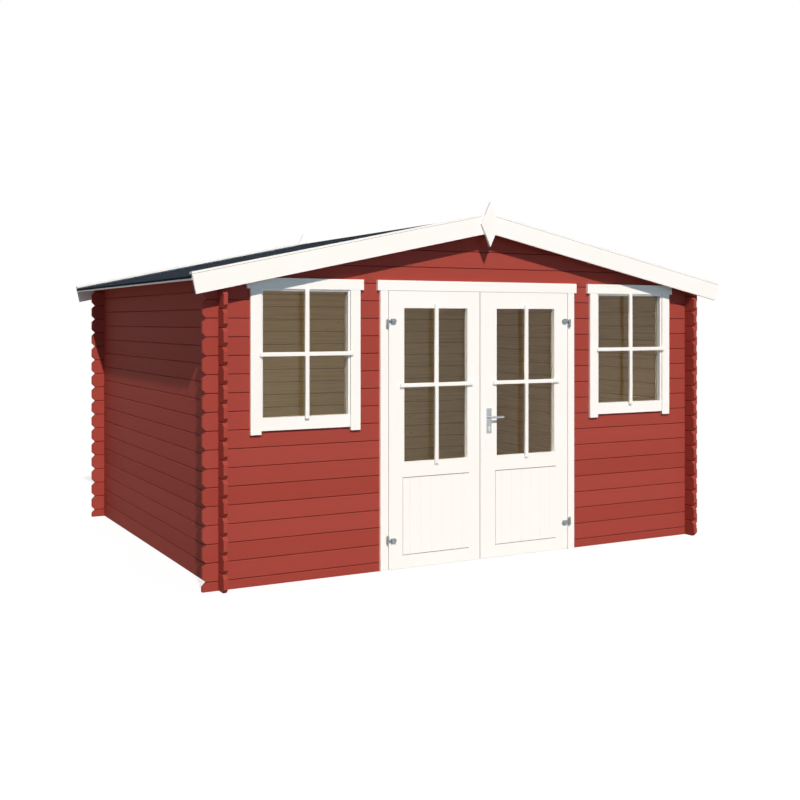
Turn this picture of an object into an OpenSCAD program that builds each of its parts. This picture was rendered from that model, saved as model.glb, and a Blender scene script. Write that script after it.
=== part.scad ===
// Log-board summerhouse with a double door, two front windows and a felted gable roof.
// Origin on the ground at the middle of the footprint, front towards -Y, +Z up, millimetres.

/* [Log walls] */
// Width over the outer faces of the two side walls
wall_w = 3800; // [3600:10:4400]
// Depth over the outer faces of the front and back walls
wall_d = 2960; // [2400:10:3600]
// Height of one log board from joint to joint
log_h = 115; // [110:1:122]
// Thickness of a log board
log_t = 28; // [24:1:34]
// Full boards in a side wall below the bevelled top board
side_courses = 16; // [16:1:18]
// Height of the bevelled top board on the outer face of a side wall
top_board_h = 97; // [85:1:105]
// Length of the crossed log ends past the corner
end_out = 100; // [70:1:130]
// Chamfer at the top and bottom of a free log end
end_chamfer = 26; // [12:1:34]
// Depth of the V groove along each joint
joint_groove = 5; // [2:0.5:6]
// Clearance in the crossed notches, the frame grooves and round the purlins
notch_fit = 0.3; // [0.1:0.1:0.8]

/* [Roof] */
// Slope of the roof in degrees
roof_pitch = 12; // [9:0.1:15]
// Distance from a side wall to the tip of the barge cap
eaves_out = 204; // [170:1:260]
// Thickness of the roof boards
roof_board_t = 22; // [18:1:24]
// Thickness of the roofing felt
felt_t = 3; // [2:0.5:4]
// Width of a barge board across the slope
barge_h = 121; // [115:1:150]
// Thickness of a barge board
barge_t = 18; // [15:1:22]
// Height of the barge board above the felt
barge_upstand = 10; // [8:1:22]
// Thickness of the cap strip on the barge board
cap_t = 14; // [10:1:18]
// Width of the cap strip
cap_w = 50; // [36:1:70]
// Height and depth of the rebate that leaves a shadow line under the cap's outer edge
cap_rebate = 1.5; // [1:0.5:4]
// Thickness of the strip along the eaves
eaves_strip_t = 12; // [9:1:18]
// Height of the strip along the eaves
eaves_strip_h = 24; // [20:1:32]
// Width of the diamond finial
finial_w = 142; // [100:1:160]
// Height of the diamond finial
finial_h = 305; // [240:1:340]
// Thickness of the diamond finial
finial_t = 18; // [15:1:22]
// How far the finials are nailed to the right of the ridge line
finial_shift = -6; // [-10:1:10]
// How far the finials' middle lies below the middle of the barge boards
finial_drop = 4; // [0:1:12]
// Width of the ridge purlin
ridge_purlin_w = 60; // [44:1:80]
// Width of a side purlin
side_purlin_w = 44; // [36:1:60]
// Depth of the purlins below the roof boards
purlin_h = 70; // [60:1:84]
// Distance of a side purlin from the ridge
side_purlin_x = 950; // [700:10:1100]
// Gap between the layers that lie on each other down the slope
layer_gap = 0.1; // [0.05:0.05:0.3]

/* [Door frame] */
// Clear width between the jambs
door_w = 1470; // [1400:5:1600]
// Width of a jamb seen from the front
jamb_w = 57; // [50:1:70]
// How far the frames stand in front of the wall
frame_proud = 20; // [16:1:24]
// How far the frames stand behind the wall
frame_inside = 20; // [14:1:26]
// Height of the frame head under the log above it
head_rail_h = 44; // [38:1:60]
// Gap left above the frames for the logs to settle
settle_gap = 7.5; // [5:0.5:10]
// Depth to which the wall boards sit in the frame grooves
board_lap = 20; // [14:1:26]
// Spare depth behind the boards in the frame grooves
groove_spare = 2; // [1:0.5:4]
// Width of the door stop
stop_w = 12; // [8:1:16]
// Height of the threshold behind the doors
threshold_h = 20; // [14:1:30]
// Height of the boards over the door and the windows
head_board_h = 68; // [60:1:80]
// Part of the head board that laps onto the log above
head_board_lap = 24; // [16:1:30]
// Thickness of the head boards
head_board_t = 22; // [20:1:26]
// Overhang of the boards over the windows at each end
head_board_over = 24; // [15:1:30]
// Overhang of the board over the door at each end
door_board_over = 20; // [15:1:30]

/* [Door leaves] */
// Gap between a leaf and the frame
leaf_gap = 5; // [5:0.5:7]
// Gap between a leaf and the head of the frame
head_gap = 2; // [2:0.5:5]
// Gap between the leaves at the front
meeting_gap = 6; // [6:0.5:9]
// How much the meeting edges slope back, so that the leaves pass each other
meeting_bevel = 3; // [3:0.5:5]
// Gap under the leaves
leaf_lift = 7; // [5:0.5:10]
// Thickness of a leaf
leaf_t = 44; // [40:1:46]
// Position of the line where the leaves meet
meeting_x = -18; // [-30:1:30]
// Width of the hinge stile
outer_stile_w = 116; // [100:1:130]
// Width of the two meeting stiles together
centre_stiles_w = 240; // [200:2:260]
// Height of the bottom rail
bottom_rail_h = 85; // [70:1:110]
// Height of the boarded panel
panel_h = 519; // [450:1:560]
// Height of the lock rail
lock_rail_h = 100; // [90:1:130]
// Height of the top rail
top_rail_h = 114; // [90:1:130]
// How far the lock rail stands in front of the stiles
lock_rail_proud = 1; // [0.5:0.5:2]
// How far the panel is wider than the glass at each side
panel_lap = 13; // [11:1:20]
// Depth of the panel's seat on the stiles and rails
panel_seat = 10; // [6:1:12]
// Thickness of the panel boards
panel_t = 16; // [12:1:20]
// How far the panel stands in front of the stiles
panel_proud = 4; // [2:0.5:5]
// Shadow gap over and under the panel
panel_gap = 5; // [3:0.5:6]
// Gap beside the panel
panel_side_gap = 2; // [1:0.5:3]
// Width of a panel board
panel_board_w = 82; // [70:1:95]
// Depth of the V groove between panel boards
panel_groove = 2; // [1:0.5:3]
// Thickness of the glass in doors and windows
glass_t = 4; // [3:0.5:6]
// Depth of the glass behind the front of a leaf
door_glass_in = 31; // [22:1:34]
// Depth of the groove that holds a pane
glass_lap = 8; // [5:1:10]
// Clearance round a pane in its groove
glass_fit = 0.3; // [0.2:0.1:0.5]

/* [Hinges] */
// Radius of a hinge barrel
barrel_r = 9; // [7:0.5:10]
// Height of a hinge barrel
barrel_h = 60; // [50:1:70]
// Distance of the hinge axis in front of the leaf
axis_out = 12; // [11:0.5:14]
// Distance of the hinge axis beyond the leaf's edge
axis_side = 13; // [11:0.5:16]
// Radius of the hinge pin
pin_r = 4; // [3:0.5:5]
// Running clearance round the pin
pin_fit = 0.1; // [0.05:0.01:0.2]
// Gap between the two halves of a barrel
knuckle_gap = 0.5; // [0.3:0.1:1]
// Radius of the boss on the leaf
boss_r = 14; // [13.5:0.5:15]
// Length of the boss on the leaf
boss_len = 39; // [30:1:45]
// Distance from the leaf's edge to the boss
boss_in = 10; // [6:1:14]
// Radius of the arm and of the shank
arm_r = 5; // [4:0.5:6]
// Height of the arm above the middle of the barrel on the upper hinges
arm_rise = 17; // [10:1:20]
// Depth of the arm below the middle of the barrel on the lower hinges, which are turned over
arm_drop = 6; // [5.5:0.5:16]
// Distance of the lower hinges from the foot of a leaf
hinge_low = 199; // [150:1:260]
// Distance of the upper hinges from the top of a leaf
hinge_high = 216; // [150:1:260]

/* [Handle] */
// Distance of the handle from the middle of the house
handle_x = 55; // [45:1:65]
// Height of the lever's axis
lever_z = 984; // [940:1:1040]
// Width of the long plate
plate_w = 40; // [34:1:44]
// Height of the long plate
plate_h = 172; // [160:1:200]
// Thickness of the long plate
plate_t = 4; // [3:0.5:6]
// Height of the plate above the lever's axis
plate_top = 61; // [50:1:70]
// Distance of the lock cylinder below the lever's axis
cylinder_drop = 72; // [68:1:76]
// Radius of the lock cylinder's round part
cylinder_r = 8.5; // [8:0.1:9]
// Width of the lock cylinder's web
cylinder_web = 10; // [8:0.5:11]
// Height of the lock cylinder from end to end
cylinder_h = 33; // [30:1:35]
// How far the lock cylinder stands in front of the plates
cylinder_proud = 1.5; // [0.5:0.5:3]
// Radius of the spindle
spindle_r = 4; // [3:0.5:5]
// Clearance round the turning and the seated lock parts
lock_fit = 0.3; // [0.2:0.1:0.5]
// Distance of the grip's axis from the leaf
grip_out = 40; // [30:1:45]
// Radius of the grip
grip_r = 7.5; // [6:0.5:9]
// Length of the grip from the lever's axis
grip_len = 102; // [95:1:130]

/* [Windows] */
// Distance of a window's middle from the middle of the house
window_x = 1318; // [1290:1:1330]
// Width between the casings
window_w = 616; // [560:2:640]
// Width of a side casing
casing_w = 71; // [60:1:80]
// Width of the glazing strip seen beside the casing
glazing_strip_w = 13; // [9:1:18]
// Step from the casing back to the outer edge of the glazing strips
glazing_step = 5; // [2:0.5:10]
// How far the glazing strips slope back to the glass side
glazing_bevel = 6; // [2:0.5:10]
// Step from the casing back to the bottom rail
sill_step = 2; // [1:0.5:6]
// Full boards below the window, over the half board
sill_courses = 8; // [7:1:9]
// Part of the bottom rail that laps onto the log below
sill_lap = 12; // [8:1:20]
// Height of the bottom rail
sill_h = 81; // [76:1:96]
// Length of the casings below the bottom rail
casing_drop = 23; // [15:1:35]
// Depth of the glass behind the front of a window frame
window_glass_in = 42; // [30:1:56]

/* [Hidden] */

$fn = 48;
// How far a cut runs past the face that it opens
past = 5;
// Courses listed above the eaves when joints are looked for, and how near a level counts as a joint
gable_courses = 8;
joint_match = 0.001;

// Walls: outer faces, joint heights and the level where the gable log starts
front_y = -wall_d / 2;
half_w = wall_w / 2;
first_joint_front = log_h / 2;
lintel_z = (side_courses + 0.5) * log_h;
sill_z = (sill_courses + 0.5) * log_h;
eaves_wall_z = side_courses * log_h + top_board_h;
end_x = half_w + end_out;

// Roof: slope, top of the gables at the ridge, underside of the roof boards there, and how far
// out each layer runs. Layers are measured square to the slope from the boards' underside.
slope = tan(roof_pitch);
apex_z = eaves_wall_z + half_w * slope;
roof_z = apex_z + layer_gap;
gable_y = wall_d / 2 + end_out;
felt_foot = roof_board_t + layer_gap;
felt_top = felt_foot + felt_t;
barge_top = felt_top + barge_upstand;
barge_foot = barge_top - barge_h;
cap_top = barge_top + cap_t;
barge_len = (half_w + eaves_out - cap_top * sin(roof_pitch)) / cos(roof_pitch);
strip_x = barge_len * cos(roof_pitch) + roof_board_t * sin(roof_pitch);
board_edge_x = strip_x - eaves_strip_t;
finial_z = roof_z + (barge_top + barge_foot) / 2 / cos(roof_pitch) - finial_drop;

// Openings: the level under the head boards and the frames' front and back
opening_top = lintel_z - head_rail_h;
frame_top = lintel_z - settle_gap;
head_board_z = lintel_z + head_board_lap - head_board_h;
frame_front = front_y - frame_proud;
frame_back = front_y + log_t + frame_inside;
jamb_out = door_w / 2 + jamb_w;
groove_depth = board_lap + groove_spare;
window_out = window_w / 2 + casing_w;

// Leaves: edges, glass and panel, in one leaf's height
leaf_out = door_w / 2 - leaf_gap;
leaf_foot = leaf_lift;
leaf_top = opening_top - head_gap;
leaf_back = frame_front + leaf_t;
stop_front = leaf_back + leaf_gap;
glass_in_x = centre_stiles_w / 2;
glass_out_x = leaf_out - outer_stile_w;
panel_z = leaf_foot + bottom_rail_h;
lock_rail_z = panel_z + panel_h;
door_glass_z = lock_rail_z + lock_rail_h;
door_glass_top = leaf_top - top_rail_h;
hinge_x = leaf_out + axis_side;
hinge_y = frame_front - axis_out;
upper_hinge_z = leaf_top - hinge_high;
lower_hinge_z = leaf_foot + hinge_low;
socket_depth = barrel_h / 2 - barrel_r;

// Windows: clear opening between the glazing strips
pane_half = window_w / 2 - glazing_strip_w;
pane_foot = sill_z - sill_lap + sill_h;
pane_top = opening_top - glazing_strip_w;
window_glass_y = frame_front + window_glass_in;

glass_alpha = 0.45;

module logs_paint() { color("#a5463d") children(); }
module trim_paint() { color("#f7f1e6") children(); }
module bare_wood() { color("#b08a5a") children(); }
module felt_colour() { color("#2b323e") children(); }
module pane_colour() { color("#7d8a88", glass_alpha) children(); }
module metal_colour() { color("#9aa3a8") children(); }

// An outline in X and Z, given thickness from y0 to y1
module slab(y0, y1) {
    translate([0, y1, 0]) rotate([90, 0, 0]) linear_extrude(y1 - y0) children();
}

module block(low, high) {
    translate(low) cube(high - low);
}

module mirrored(side) {
    if (side < 0) children();
    else mirror([1, 0, 0]) children();
}

function is_joint(z, first) = abs((z - first) / log_h - round((z - first) / log_h)) < joint_match;
function joints(first, z0, z1) = [
    for (k = [-1 : side_courses + gable_courses])
        let (z = first + k * log_h)
        if (z > z0 + joint_groove && z < z1 - joint_groove) z
];

// Points up one edge at u, cut in by d (towards +side) at each joint and at a joint that ends the edge
function notched_edge(u, side, d, z0, z1, first) = concat(
    is_joint(z0, first) ? [[u + side * d, z0], [u, z0 + d]] : [[u, z0]],
    [for (z = joints(first, z0, z1)) each [[u, z - d], [u + side * d, z], [u, z + d]]],
    is_joint(z1, first) ? [[u, z1 - d], [u + side * d, z1]] : [[u, z1]]
);
function reversed(list) = [for (i = [len(list) - 1 : -1 : 0]) list[i]];

// Stacked boards along X with the outer face on y = 0: the boards' section, cut to their length.
// An end that is free has chamfered log ends, any other is sawn square.
module log_stack(x0, x1, z0, z1, first, free0 = false, free1 = false, rise = 0) {
    outer = notched_edge(0, 1, joint_groove, z0, z1, first);
    inner = notched_edge(log_t, -1, joint_groove, z0, z1 + rise, first);
    left = notched_edge(x0, 1, free0 ? end_chamfer : 0, z0, z1 + rise, first);
    right = notched_edge(x1, -1, free1 ? end_chamfer : 0, z0, z1 + rise, first);
    intersection() {
        translate([x0, 0, 0]) rotate([90, 0, 90]) linear_extrude(x1 - x0)
            polygon(concat(outer, reversed(inner)));
        slab(0, log_t) polygon(concat(
            free0 ? left : [[x0, z0], [x0, z1 + rise]],
            free1 ? reversed(right) : [[x1, z1 + rise], [x1, z0]]
        ));
    }
}

// What a crossing wall takes out of this one: the middle half of each of its boards, from level k0
module crossing_notches(x0, y0, k0) {
    for (k = [0 : side_courses + 1])
        translate([x0 - notch_fit, y0 - notch_fit, (k + k0) * log_h - notch_fit / 2])
            cube([log_t + 2 * notch_fit, log_t + 2 * notch_fit, log_h / 2 + notch_fit]);
}

// Region under the roof boards, in X and Z
module under_roof() {
    far = half_w + eaves_out;
    eaves_z = apex_z - far * slope;
    polygon([[-far, -past], [far, -past], [far, eaves_z], [0, apex_z], [-far, eaves_z]]);
}

// Front and back boards start with a half board, so that they cross the side boards at mid height
module front_stack(x0, x1, z0, z1, free0 = false, free1 = false) {
    difference() {
        translate([0, front_y, 0])
            log_stack(x0, x1, z0, z1, first_joint_front, free0, free1);
        if (free0) crossing_notches(-half_w, front_y, 0.25);
        if (free1) crossing_notches(half_w - log_t, front_y, 0.25);
    }
}

module front_logs_lower(side) {
    logs_paint() mirrored(side)
        front_stack(-end_x, -jamb_out + board_lap, 0, sill_z, free0 = true);
}

module front_logs_corner(side) {
    logs_paint() mirrored(side)
        front_stack(-end_x, -window_x - window_out + board_lap, sill_z, lintel_z, free0 = true);
}

module front_logs_pier(side) {
    logs_paint() mirrored(side)
        front_stack(-window_x + window_out - board_lap, -jamb_out + board_lap, sill_z, lintel_z);
}

// Purlins run through the gables and stop behind the barge boards. The holes for them are wider
// by extra, and their tops are raised so that they open through the top of the gable.
module ridge_section(extra, raised) {
    w = ridge_purlin_w / 2 + extra;
    top = apex_z + raised;
    polygon([
        [-w, top - w * slope], [0, top], [w, top - w * slope],
        [w, apex_z - purlin_h - extra], [-w, apex_z - purlin_h - extra]
    ]);
}

module side_section(extra, raised) {
    a = side_purlin_x - side_purlin_w / 2 - extra;
    b = side_purlin_x + side_purlin_w / 2 + extra;
    foot = apex_z - side_purlin_x * slope - purlin_h - extra;
    top = apex_z + raised;
    polygon([[a, foot], [b, foot], [b, top - b * slope], [a, top - a * slope]]);
}

module purlin_holes(y0) {
    slab(y0 - past, y0 + log_t + past) ridge_section(notch_fit, past);
    for (side = [0, 1]) mirror([side, 0, 0])
        slab(y0 - past, y0 + log_t + past) side_section(notch_fit, past);
}

module ridge_purlin() {
    bare_wood() slab(-gable_y, gable_y) ridge_section(0, 0);
}

module side_purlins() {
    bare_wood() for (side = [0, 1]) mirror([side, 0, 0])
        slab(-gable_y, gable_y) side_section(0, 0);
}

module front_gable() {
    logs_paint() difference() {
        intersection() {
            front_stack(-end_x, end_x, lintel_z, apex_z, free0 = true, free1 = true);
            slab(front_y - past, front_y + log_t + past) under_roof();
        }
        purlin_holes(front_y);
    }
}

module back_wall() {
    logs_paint() mirror([0, 1, 0]) difference() {
        intersection() {
            front_stack(-end_x, end_x, 0, apex_z, free0 = true, free1 = true);
            slab(front_y - past, front_y + log_t + past) under_roof();
        }
        purlin_holes(front_y);
    }
}

module side_wall(side) {
    run = wall_d / 2 + end_out;
    logs_paint() mirrored(side) difference() {
        translate([-half_w, 0, 0]) mirror([1, -1, 0])
            log_stack(-run, run, 0, eaves_wall_z, 0, free0 = true, free1 = true, rise = log_t * slope);
        crossing_notches(-half_w, front_y, -0.25);
        crossing_notches(-half_w, -front_y - log_t, -0.25);
    }
}

// A point at distance s down the right-hand slope and n above the underside of the roof boards
function on_slope(s, n) = [
    s * cos(roof_pitch) + n * sin(roof_pitch),
    roof_z - s * sin(roof_pitch) + n * cos(roof_pitch)
];
// A layer between n0 and n1, mitred at the ridge and cut square to the slope at its foot
function slope_band(n0, n1) = [
    [0, roof_z + n0 / cos(roof_pitch)], on_slope(barge_len, n0),
    on_slope(barge_len, n1), [0, roof_z + n1 / cos(roof_pitch)]
];
// A layer between n0 and n1, cut plumb at x
function plumb_band(n0, n1, x) = [
    [0, roof_z + n0 / cos(roof_pitch)], [x, roof_z - x * slope + n0 / cos(roof_pitch)],
    [x, roof_z - x * slope + n1 / cos(roof_pitch)], [0, roof_z + n1 / cos(roof_pitch)]
];

module roof_boards(side) {
    bare_wood() mirrored(-side)
        slab(-gable_y, gable_y) polygon(plumb_band(0, roof_board_t, board_edge_x));
}

module roof_felt(side) {
    felt_colour() mirrored(-side)
        slab(-gable_y, gable_y) polygon(plumb_band(felt_foot, felt_top, strip_x));
}

module eaves_strips() {
    top = roof_z + roof_board_t / cos(roof_pitch);
    edge_top = top - board_edge_x * slope;
    trim_paint() for (side = [0, 1]) mirror([side, 0, 0])
        slab(-gable_y, gable_y) polygon([
            [board_edge_x, edge_top - eaves_strip_h], [strip_x, edge_top - eaves_strip_h],
            [strip_x, top - strip_x * slope], [board_edge_x, edge_top]
        ]);
}

// The right-hand half is drawn and mirrored to the left, and the front one to the back
module barge(side, end) {
    trim_paint() mirror([0, end, 0]) mirrored(-side)
        slab(-gable_y - barge_t, -gable_y) polygon(slope_band(barge_foot, barge_top));
}

module barge_caps() {
    front = -gable_y - barge_t;
    trim_paint() for (side = [0, 1], end = [0, 1]) mirror([0, end, 0]) mirror([side, 0, 0]) {
        slab(front, front + cap_rebate) polygon(slope_band(barge_top + cap_rebate, cap_top));
        slab(front + cap_rebate, front + cap_w) polygon(slope_band(barge_top, cap_top));
    }
}

module finial(end) {
    w = finial_w / 2;
    h = finial_h / 2;
    front = -gable_y - barge_t;
    trim_paint() mirror([0, end, 0]) translate([finial_shift, 0, 0])
        slab(front - finial_t, front)
            polygon([[0, finial_z + h], [w, finial_z], [0, finial_z - h], [-w, finial_z]]);
}

module door_jamb(side) {
    trim_paint() mirrored(side) difference() {
        union() {
            block([-jamb_out, frame_front, 0], [-door_w / 2, front_y, head_board_z]);
            block([-jamb_out, front_y, 0], [-door_w / 2, frame_back, frame_top]);
            block([-door_w / 2, stop_front, 0], [-door_w / 2 + stop_w, frame_back, frame_top]);
        }
        block(
            [-jamb_out - past, front_y - notch_fit, -past],
            [-jamb_out + groove_depth, front_y + log_t + notch_fit, lintel_z]
        );
    }
}

module door_head() {
    x = door_w / 2;
    trim_paint() difference() {
        union() {
            block([-x, front_y, opening_top], [x, frame_back, frame_top]);
            block([-x, stop_front, opening_top - stop_w], [x, frame_back, frame_top]);
        }
        for (side = [0, 1]) mirror([side, 0, 0])
            block([x - stop_w, stop_front - past, 0], [x + past, frame_back + past, lintel_z]);
    }
}

module door_threshold() {
    x = door_w / 2 - stop_w;
    bare_wood() block([-x, stop_front, 0], [x, frame_back, threshold_h]);
}

module head_board(x, half) {
    block([x - half, front_y - head_board_t, head_board_z], [x + half, front_y, head_board_z + head_board_h]);
}

module head_boards() {
    trim_paint() {
        head_board(0, jamb_out + door_board_over);
        for (side = [-1, 1]) head_board(side * window_x, window_out + head_board_over);
    }
}

// A pane whose clear opening runs from one corner to the other on its front face, and its groove
module pane(low, high) {
    block(low - [glass_lap, 0, glass_lap], high + [glass_lap, glass_t, glass_lap]);
}

module pane_groove(low, high) {
    lap = glass_lap + glass_fit;
    block(low - [lap, glass_fit, lap], high + [lap, glass_t + glass_fit, lap]);
}

// Window frame about x = 0: casings, glazing strips and bottom rail, less the wall's slot and the
// pane's groove
module window_frame_body() {
    strip_front = frame_front + glazing_step;
    sill_front = frame_front + sill_step;
    casing_in = window_w / 2;
    foot = sill_z - sill_lap;
    difference() {
        union() {
            for (side = [0, 1]) mirror([side, 0, 0]) {
                block([casing_in, frame_front, foot - casing_drop], [window_out, front_y, head_board_z]);
                block([casing_in, front_y, foot - casing_drop], [window_out, frame_back, frame_top]);
            }
            block([-casing_in, strip_front, foot], [casing_in, front_y, head_board_z]);
            block([-casing_in, sill_front, foot], [casing_in, front_y, pane_foot]);
            block([-casing_in, front_y, foot], [casing_in, frame_back, frame_top]);
        }
        block([-pane_half, frame_front - past, pane_foot], [pane_half, frame_back + past, pane_top]);
        pane_groove([-pane_half, window_glass_y, pane_foot], [pane_half, window_glass_y, pane_top]);
        strip_bevels();
        for (side = [0, 1]) mirror([side, 0, 0])
            block(
                [window_out - groove_depth, front_y - notch_fit, 0],
                [window_out + past, front_y + log_t + notch_fit, lintel_z]
            );
        block(
            [-window_out - past, front_y - notch_fit, 0],
            [window_out + past, front_y + log_t + notch_fit, sill_z]
        );
    }
}

// What the slope of the glazing strips takes off, mitred at the top corners
module strip_bevels() {
    y0 = frame_front - past;
    y1 = frame_front + glazing_step;
    y2 = y1 + glazing_bevel;
    x = window_w / 2;
    intersection() {
        translate([0, 0, pane_foot]) linear_extrude(opening_top - pane_foot) polygon([
            [-x, y0], [x, y0], [x, y1], [pane_half, y2], [-pane_half, y2], [-x, y1]
        ]);
        translate([-x, 0, 0]) rotate([90, 0, 90]) linear_extrude(window_w) polygon([
            [y0, pane_foot], [y2, pane_foot], [y2, pane_top], [y1, opening_top], [y0, opening_top]
        ]);
    }
}

module window_frame(side) {
    trim_paint() translate([side * window_x, 0, 0]) window_frame_body();
}

module window_glass() {
    pane_colour() for (side = [-1, 1]) translate([side * window_x, 0, 0])
        pane([-pane_half, window_glass_y, pane_foot], [pane_half, window_glass_y, pane_top]);
}

// Leaves are drawn on the right-hand side, from the meeting edge at x0 to the hinge side
function meeting_edge(side) = side * meeting_x + meeting_gap / 2;

module lock_outline(extra) {
    translate([0, -cylinder_drop]) {
        circle(cylinder_r + extra);
        translate([-cylinder_web / 2 - extra, cylinder_r - cylinder_h - extra])
            square([cylinder_web + 2 * extra, cylinder_h - cylinder_r]);
        translate([0, cylinder_r - cylinder_h + cylinder_web / 2]) circle(cylinder_web / 2 + extra);
    }
}

module lock_bores() {
    run = leaf_t + 2 * (plate_t + past);
    translate([handle_x, leaf_back + plate_t + past, lever_z]) rotate([90, 0, 0]) {
        cylinder(r = spindle_r + lock_fit, h = run);
        linear_extrude(run) lock_outline(lock_fit);
    }
}

module door_leaf(side) {
    glass_y = frame_front + door_glass_in;
    panel_back = frame_front - panel_proud + panel_t;
    px0 = glass_in_x - panel_lap;
    px1 = glass_out_x + panel_lap;
    trim_paint() mirrored(-side) difference() {
        union() {
            translate([0, 0, leaf_foot]) linear_extrude(leaf_top - leaf_foot) polygon([
                [meeting_edge(side), frame_front], [leaf_out, frame_front],
                [leaf_out, leaf_back], [meeting_edge(side) + meeting_bevel, leaf_back]
            ]);
            block(
                [glass_in_x, frame_front - lock_rail_proud, lock_rail_z],
                [glass_out_x, frame_front, door_glass_z]
            );
        }
        block(
            [glass_in_x, frame_front - past, door_glass_z],
            [glass_out_x, leaf_back + past, door_glass_top]
        );
        pane_groove([glass_in_x, glass_y, door_glass_z], [glass_out_x, glass_y, door_glass_top]);
        block([px0, frame_front - past, panel_z], [px1, panel_back, lock_rail_z]);
        block(
            [px0 + panel_seat, panel_back - past, panel_z + panel_seat],
            [px1 - panel_seat, leaf_back + past, lock_rail_z - panel_seat]
        );
        if (side > 0) lock_bores();
    }
}

// Upright tongued boards with a V groove between them, one solid per leaf
module door_panel(side) {
    x0 = glass_in_x - panel_lap + panel_side_gap;
    x1 = glass_out_x + panel_lap - panel_side_gap;
    y0 = frame_front - panel_proud;
    g = panel_groove;
    mid = (x0 + x1) / 2;
    reach = ceil((x1 - x0) / 2 / panel_board_w - 0.5);
    lines = [for (k = [-reach : reach - 1]) mid + (k + 0.5) * panel_board_w];
    trim_paint() mirrored(-side) translate([0, 0, panel_z + panel_gap])
        linear_extrude(panel_h - 2 * panel_gap) polygon(concat(
            [[x0, y0]],
            [for (x = lines) if (x > x0 + g && x < x1 - g) each [[x - g, y0], [x, y0 + g], [x + g, y0]]],
            [[x1, y0], [x1, y0 + panel_t], [x0, y0 + panel_t]]
        ));
}

module door_glass(side) {
    glass_y = frame_front + door_glass_in;
    pane_colour() mirrored(-side)
        pane([glass_in_x, glass_y, door_glass_z], [glass_out_x, glass_y, door_glass_top]);
}

// Half a barrel with a rounded outer end, standing on z = 0
module half_barrel() {
    h = (barrel_h - knuckle_gap) / 2;
    r = barrel_r;
    rotate_extrude() polygon(concat(
        [[0, 0], [r, 0]],
        [for (a = [0 : 15 : 75]) [r * cos(a), h - r + r * sin(a)]],
        [[0, h]]
    ));
}

module leaf_hinge(rise) {
    arm_end = axis_side + boss_in;
    difference() {
        union() {
            translate([0, 0, knuckle_gap / 2]) half_barrel();
            translate([0, 0, rise]) rotate([0, -90, 0]) cylinder(r = arm_r, h = arm_end);
            translate([-arm_end, 0, rise]) rotate([0, -90, 0]) boss();
        }
        cylinder(r = pin_r + pin_fit, h = socket_depth);
    }
}

// Round boss along its own axis, flat where it lies on the leaf
module boss() {
    c = boss_r / 4;
    difference() {
        rotate_extrude() polygon([
            [0, 0], [boss_r - c, 0], [boss_r, c],
            [boss_r, boss_len - 2 * c], [boss_r - 2 * c, boss_len], [0, boss_len]
        ]);
        translate([-boss_r, axis_out, -past]) cube([2 * boss_r, boss_r, boss_len + 2 * past]);
    }
}

module frame_hinge() {
    rotate([180, 0, 0]) translate([0, 0, knuckle_gap / 2]) half_barrel();
    translate([0, 0, -knuckle_gap / 2]) cylinder(r = pin_r, h = socket_depth - pin_fit);
    translate([0, 0, -barrel_h / 4]) rotate([-90, 0, 0]) cylinder(r = arm_r, h = axis_out);
}

// The lower hinges are turned over, so that a shut door can't be lifted off its pins
module door_hinges(side) {
    metal_colour() mirrored(-side) {
        translate([hinge_x, hinge_y, upper_hinge_z]) leaf_hinge(arm_rise);
        translate([hinge_x, hinge_y, lower_hinge_z]) mirror([0, 0, 1]) leaf_hinge(arm_drop);
    }
}

module hinge_pins() {
    metal_colour() for (side = [0, 1]) mirror([side, 0, 0]) {
        translate([hinge_x, hinge_y, upper_hinge_z]) frame_hinge();
        translate([hinge_x, hinge_y, lower_hinge_z]) mirror([0, 0, 1]) frame_hinge();
    }
}

module lock_plates() {
    metal_colour() for (y = [frame_front - plate_t, leaf_back]) difference() {
        block(
            [handle_x - plate_w / 2, y, lever_z + plate_top - plate_h],
            [handle_x + plate_w / 2, y + plate_t, lever_z + plate_top]
        );
        lock_bores();
    }
}

module lock_cylinder() {
    run = leaf_t + 2 * (plate_t + cylinder_proud);
    metal_colour() translate([handle_x, leaf_back + plate_t + cylinder_proud, lever_z])
        rotate([90, 0, 0]) linear_extrude(run) lock_outline(0);
}

// One grip: a neck out of the plate, a round elbow and the bar
module grip() {
    reach = grip_out - plate_t - lock_fit;
    rotate([90, 0, 0]) cylinder(r = grip_r, h = reach);
    translate([0, -reach, 0]) {
        sphere(r = grip_r);
        rotate([0, 90, 0]) cylinder(r = grip_r, h = grip_len - grip_r);
        translate([grip_len - grip_r, 0, 0]) sphere(r = grip_r);
    }
}

module lever_handle() {
    out = plate_t + lock_fit;
    metal_colour() translate([handle_x, 0, lever_z]) {
        translate([0, frame_front - out, 0]) grip();
        translate([0, leaf_back + out, 0]) mirror([0, 1, 0]) grip();
        translate([0, leaf_back + out, 0]) rotate([90, 0, 0])
            cylinder(r = spindle_r, h = leaf_t + 2 * out);
    }
}

front_logs_lower(-1);  // front_logs_lower_left
front_logs_lower(1);  // front_logs_lower_right
front_logs_corner(-1);  // front_logs_corner_left
front_logs_corner(1);  // front_logs_corner_right
front_logs_pier(-1);  // front_logs_pier_left
front_logs_pier(1);  // front_logs_pier_right
front_gable();
back_wall();
side_wall(-1);  // left_wall
side_wall(1);  // right_wall
ridge_purlin();
side_purlins();
roof_boards(-1);  // roof_boards_left
roof_boards(1);  // roof_boards_right
roof_felt(-1);  // roof_felt_left
roof_felt(1);  // roof_felt_right
eaves_strips();
barge(-1, 0);  // front_barge_left
barge(1, 0);  // front_barge_right
barge(-1, 1);  // back_barge_left
barge(1, 1);  // back_barge_right
barge_caps();
finial(0);  // front_finial
finial(1);  // back_finial
door_jamb(-1);  // door_jamb_left
door_jamb(1);  // door_jamb_right
door_head();
door_threshold();
head_boards();
window_frame(-1);  // left_window_frame
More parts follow.
